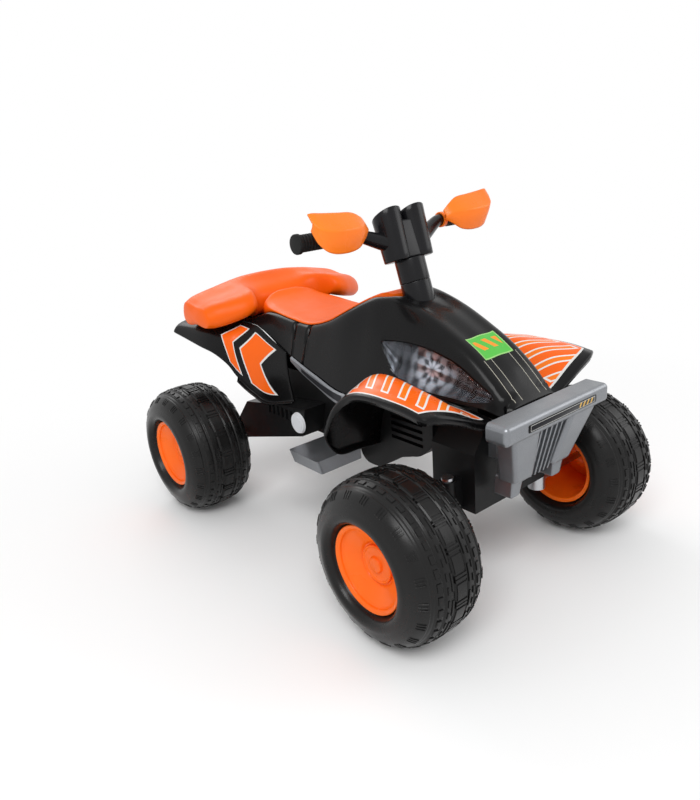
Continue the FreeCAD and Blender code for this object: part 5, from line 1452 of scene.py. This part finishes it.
grip = {
    # from the middle plane, then along the grip and radius
    "start": 126,
    "sleeve": ((0, 11.2), (0, 14.6, 1), (104, 14.2, 0.5), (104, 17.5, 1.5), (112, 17.5, 2.5), (112, 0)),
    "rib": ((0, 13.6), (0.5, 15.2), (3, 15.2), (3.5, 13.6)),
    "ribStart": 7,
    "ribStep": 6.4,
    "ribCount": 15,
}

guard = {
    # half width; lower edge, crease and upper edge as forward of the column and along it
    "stations": (
        (100, 20, 122, 23, 131, 20, 140),
        (112, 24, 112, 33, 131, 26, 150),
        (132, 26, 98, 42, 130, 28, 160),
        (165, 27, 93, 47, 129, 30, 163),
        (198, 26, 99, 46, 131, 30, 166),
        (216, 24, 118, 42, 138, 30, 168),
        (224, 24, 140, 34, 152, 28, 168),
    ),
    "wall": 3.0,
    "rows": 60,
    "columns": 28,
    "creaseShare": 0.56,
    "bulge": 2.4,
    # the clamp's ring along the bar and radius, and its lug
    "clampX": 119.5,
    "clamp": ((-4.5, 11.3), (-4.5, 15, 0.8), (4.5, 15, 0.8), (4.5, 11.3)),
    "lug": {"x": 4, "z": (-5, 5), "corner": 1.5},
    "lugReach": (-32, -4),
}


def onColumn(x, y, z):
    return columnFrame @ Vector((x * mm, y * mm, z * mm))


def onAxis(piece, start, way):
    # sets a piece that was turned about X on a line in the column's frame
    turn = Vector(way).to_track_quat("X", "Z").to_matrix().to_4x4()
    piece.data.transform(columnFrame @ Matrix.Translation(Vector(start) * mm) @ turn)
    return piece


def roundedLoop(size, inset=0, cuts=5):
    # a rectangle with round corners across X and Z
    half = size["x"] - inset
    low, high = size["z"][0] + inset, size["z"][1] - inset
    radius = max(size["corner"] - inset, 0.5)
    loop = []
    for turn, (cx, cz) in enumerate(((half, high), (-half, high), (-half, low), (half, low))):
        ax, az = cx - math.copysign(radius, cx), cz - (radius if turn < 2 else -radius)
        for a in steps(turn * math.pi / 2, (turn + 1) * math.pi / 2, cuts):
            loop.append((ax + radius * math.cos(a), az + radius * math.sin(a)))
    return loop


def pipe(name, stations, parts=64, count=40):
    # a round bar that swells and bends through stations of x, y, z and radius
    last = len(stations) - 1
    centres = naturalCurve([p[:3] for p in stations], range(last + 1), steps(0, last, parts))
    marked = [(i, p[3]) for i, p in enumerate(stations)]
    rows = []
    for i, centre in enumerate(centres):
        way = (centres[min(i + 1, parts)] - centres[max(i - 1, 0)]).normalized()
        side = way.cross(Vector((0, 0, 1))).normalized()
        up = side.cross(way)
        r = readAt(marked, i / parts * last)[0]
        turns = [2 * math.pi * j / count for j in range(count)]
        rows.append([onColumn(*(centre + (side * math.cos(a) + up * math.sin(a)) * r)) for a in turns])
    return loopPiece(name, rows)


def makeColumn():
    for name, key, body, nodes in (("columnCollar", "collar", "chassis", []),
                                   ("columnCover", "cover", "steering", ["column_cover"])):
        piece = onAxis(turnedPiece(name, rounded(column[key]), closed=True), (0, 0, 0), (0, 0, 1))
        place(piece, body, nodes, "handleBlack", "body_black")


def makePod(name, x):
    # a tapered pod, cut off on a slant, with a round recess in its top
    size = handlebar
    slant = math.radians(size["podSlant"])
    turns = steps(0, 2 * math.pi, size["podSegments"])[:-1]
    foot, wide = size["podRadius"]
    roomSide, roomTop = size["switchRoom"]

    def radius(z):
        return foot + (wide - foot) * (z - size["podFoot"]) / size["podTaperLength"]

    def ring(inset, share, drop):
        row = []
        for a in turns:
            top = size["podHead"] - radius(size["podHead"]) * math.sin(a) * math.tan(slant) - drop
            z = size["podFoot"] + (top - size["podFoot"]) * share
            r = radius(z) - inset
            px, py = x + r * math.cos(a), r * math.sin(a)
            if py > 0 and z < roomTop and abs(px) < roomSide:
                px = math.copysign(roomSide, x)  # leaves the switch its room
            row.append(onColumn(px, py, z))
        return row

    def slanted(r, depth):
        row = []
        for a in turns:
            y = r * math.sin(a) * math.cos(slant) - depth * math.sin(slant)
            z = size["podHead"] - r * math.sin(a) * math.sin(slant) - depth * math.cos(slant)
            row.append(onColumn(x + r * math.cos(a), y, z))
        return row

    rows = [ring(*numbers) for numbers in size["podRings"]]
    return loopPiece(name, rows + [slanted(*numbers) for numbers in size["recess"]])


def sinkSeat(piece):
    # flattens the bar under the throttle button
    reach, depth = handlebar["bossSeat"]
    back = columnFrame.inverted()
    for v in piece.data.vertices:
        p = (back @ v.co) / mm
        away = math.hypot(p.x - handlebar["bossX"], p.z - handlebar["barZ"])
        if away < reach and p.y > handlebar["barY"] + depth:
            v.co = onColumn(p.x, handlebar["barY"] + depth, p.z)


def makeHandlebar():
    size = handlebar
    loops = [(size["bridge"], inset, y) for inset, y in size["bridgeDepth"]]
    loops += [(size["switch"], 0, y) for y in size["switchDepth"]]
    bridge = [[onColumn(x, y, z) for x, z in roundedLoop(shape, inset)] for shape, inset, y in loops]
    place(loopPiece("podBridge", bridge), "steering", ["handlebar"], "handleBlack", "body_black")
    boss = turnedPiece("buttonBoss", rounded(size["boss"]), size["segments"])
    pieces = [onAxis(boss, (size["bossX"], size["barY"], size["barZ"]), (0, 1, 0))]
    for title, side in (("Right", -1), ("Left", 1)):
        pieces.append(makePod("pod" + title, side * size["podX"]))
        arm = pipe("barArm" + title, [(side * p[0],) + p[1:] for p in size["arm"]])
        sinkSeat(arm)
        pieces.append(arm)
    for piece in pieces:
        place(piece, "steering", [], "handleBlack", "body_black")


def makeGrips():
    size = grip
    for title, side in (("Right", -1), ("Left", 1)):
        sleeve = turnedPiece("gripSleeve", rounded(size["sleeve"]), handlebar["segments"])
        rib = turnedPiece("gripRib", size["rib"], handlebar["segments"], closed=True)
        rib.data.transform(Matrix.Translation((size["ribStart"] * mm, 0, 0)))
        ribs = repeated(rib, size["ribCount"], finishes["gripBlack"], step=(size["ribStep"] * mm, 0, 0))
        piece = joinMeshes("grip" + title, [sleeve, ribs])
        start = (side * size["start"], handlebar["barY"], handlebar["barZ"])
        onAxis(piece, start, (side, 0, 0))
        place(piece, "steering", ["grip_" + title.lower()], "gripBlack", "grip_black")


def makeClamp(name):
    # the ring round the bar and the lug that carries the right guard
    size = guard
    centre = (-size["clampX"], handlebar["barY"], handlebar["barZ"])
    ring = turnedPiece("clampRing", rounded(size["clamp"]), handlebar["segments"], closed=True)
    onAxis(ring, centre, (1, 0, 0))
    rows = [[onColumn(centre[0] + x, y, centre[2] + z) for x, z in roundedLoop(size["lug"])]
            for y in size["lugReach"]]
    return joinMeshes(name, [ring, loopPiece("clampLug", rows)])


def makeGuards():
    size = guard
    rows = []
    for x in steps(size["stations"][0][0], size["stations"][-1][0], size["rows"]):
        n = readAt(size["stations"], x)
        low, crease, high = (Vector((-x, -n[k], n[k + 1])) for k in (0, 2, 4))
        row = []
        for t in steps(0, 1, size["columns"]):
            # two flat-ish faces that meet in a soft crease
            crest = size["creaseShare"]
            p = low.lerp(crease, t / crest) if t < crest else crease.lerp(high, (t - crest) / (1 - crest))
            bulge = size["bulge"] * math.sin(math.pi * min(t / crest, 1))
            row.append(onColumn(p.x, p.y - bulge, p.z))
        rows.append(row)
    sheet = walled(gridPiece("handGuardRight", rows), (0, -1, 0.2), size["wall"])
    placePair(sheet, "steering", "hand_guard", "guardOrange", "guard_orange")
    placePair(makeClamp("guardClampRight"), "steering", None, "guardOrange", "guard_orange")


# a dark inlay on the front of the bumper's top bar

def makeBumperStrip():
    size = bumperStrip
    middle, half = (size["x"][0] + size["x"][1]) / 2, (size["x"][1] - size["x"][0]) / 2
    shape = {"x": half, "z": size["z"], "corner": size["corner"]}
    loops = []
    edge, proud = size["round"], size["proud"]
    for inset, out in ((0, -size["sink"]), (0, proud - edge), (edge, proud)):
        front = size["front"] - out
        loops.append([Vector((middle + x, front, z)) * mm for x, z in roundedLoop(shape, inset)])
    place(loopPiece("bumperStrip", loops), "chassis", [], "bumperStripFinish", "body_black")


makeCamera()
makeStage()
makeFinishes()
dressFrame()
print("stage and frame dressed")
makeUpperBody()
makeHeadlights()
makeFrontFenders()
makeRearFenders()
print("body panels made")
makeSaddle()
makeBackrest()
print("seat made")
makeWheels()
print("wheels made")
makeColumn()
makeHandlebar()
makeGrips()
makeGuards()
print("steering made")
makeBumperStrip()
print("bumper strip made")
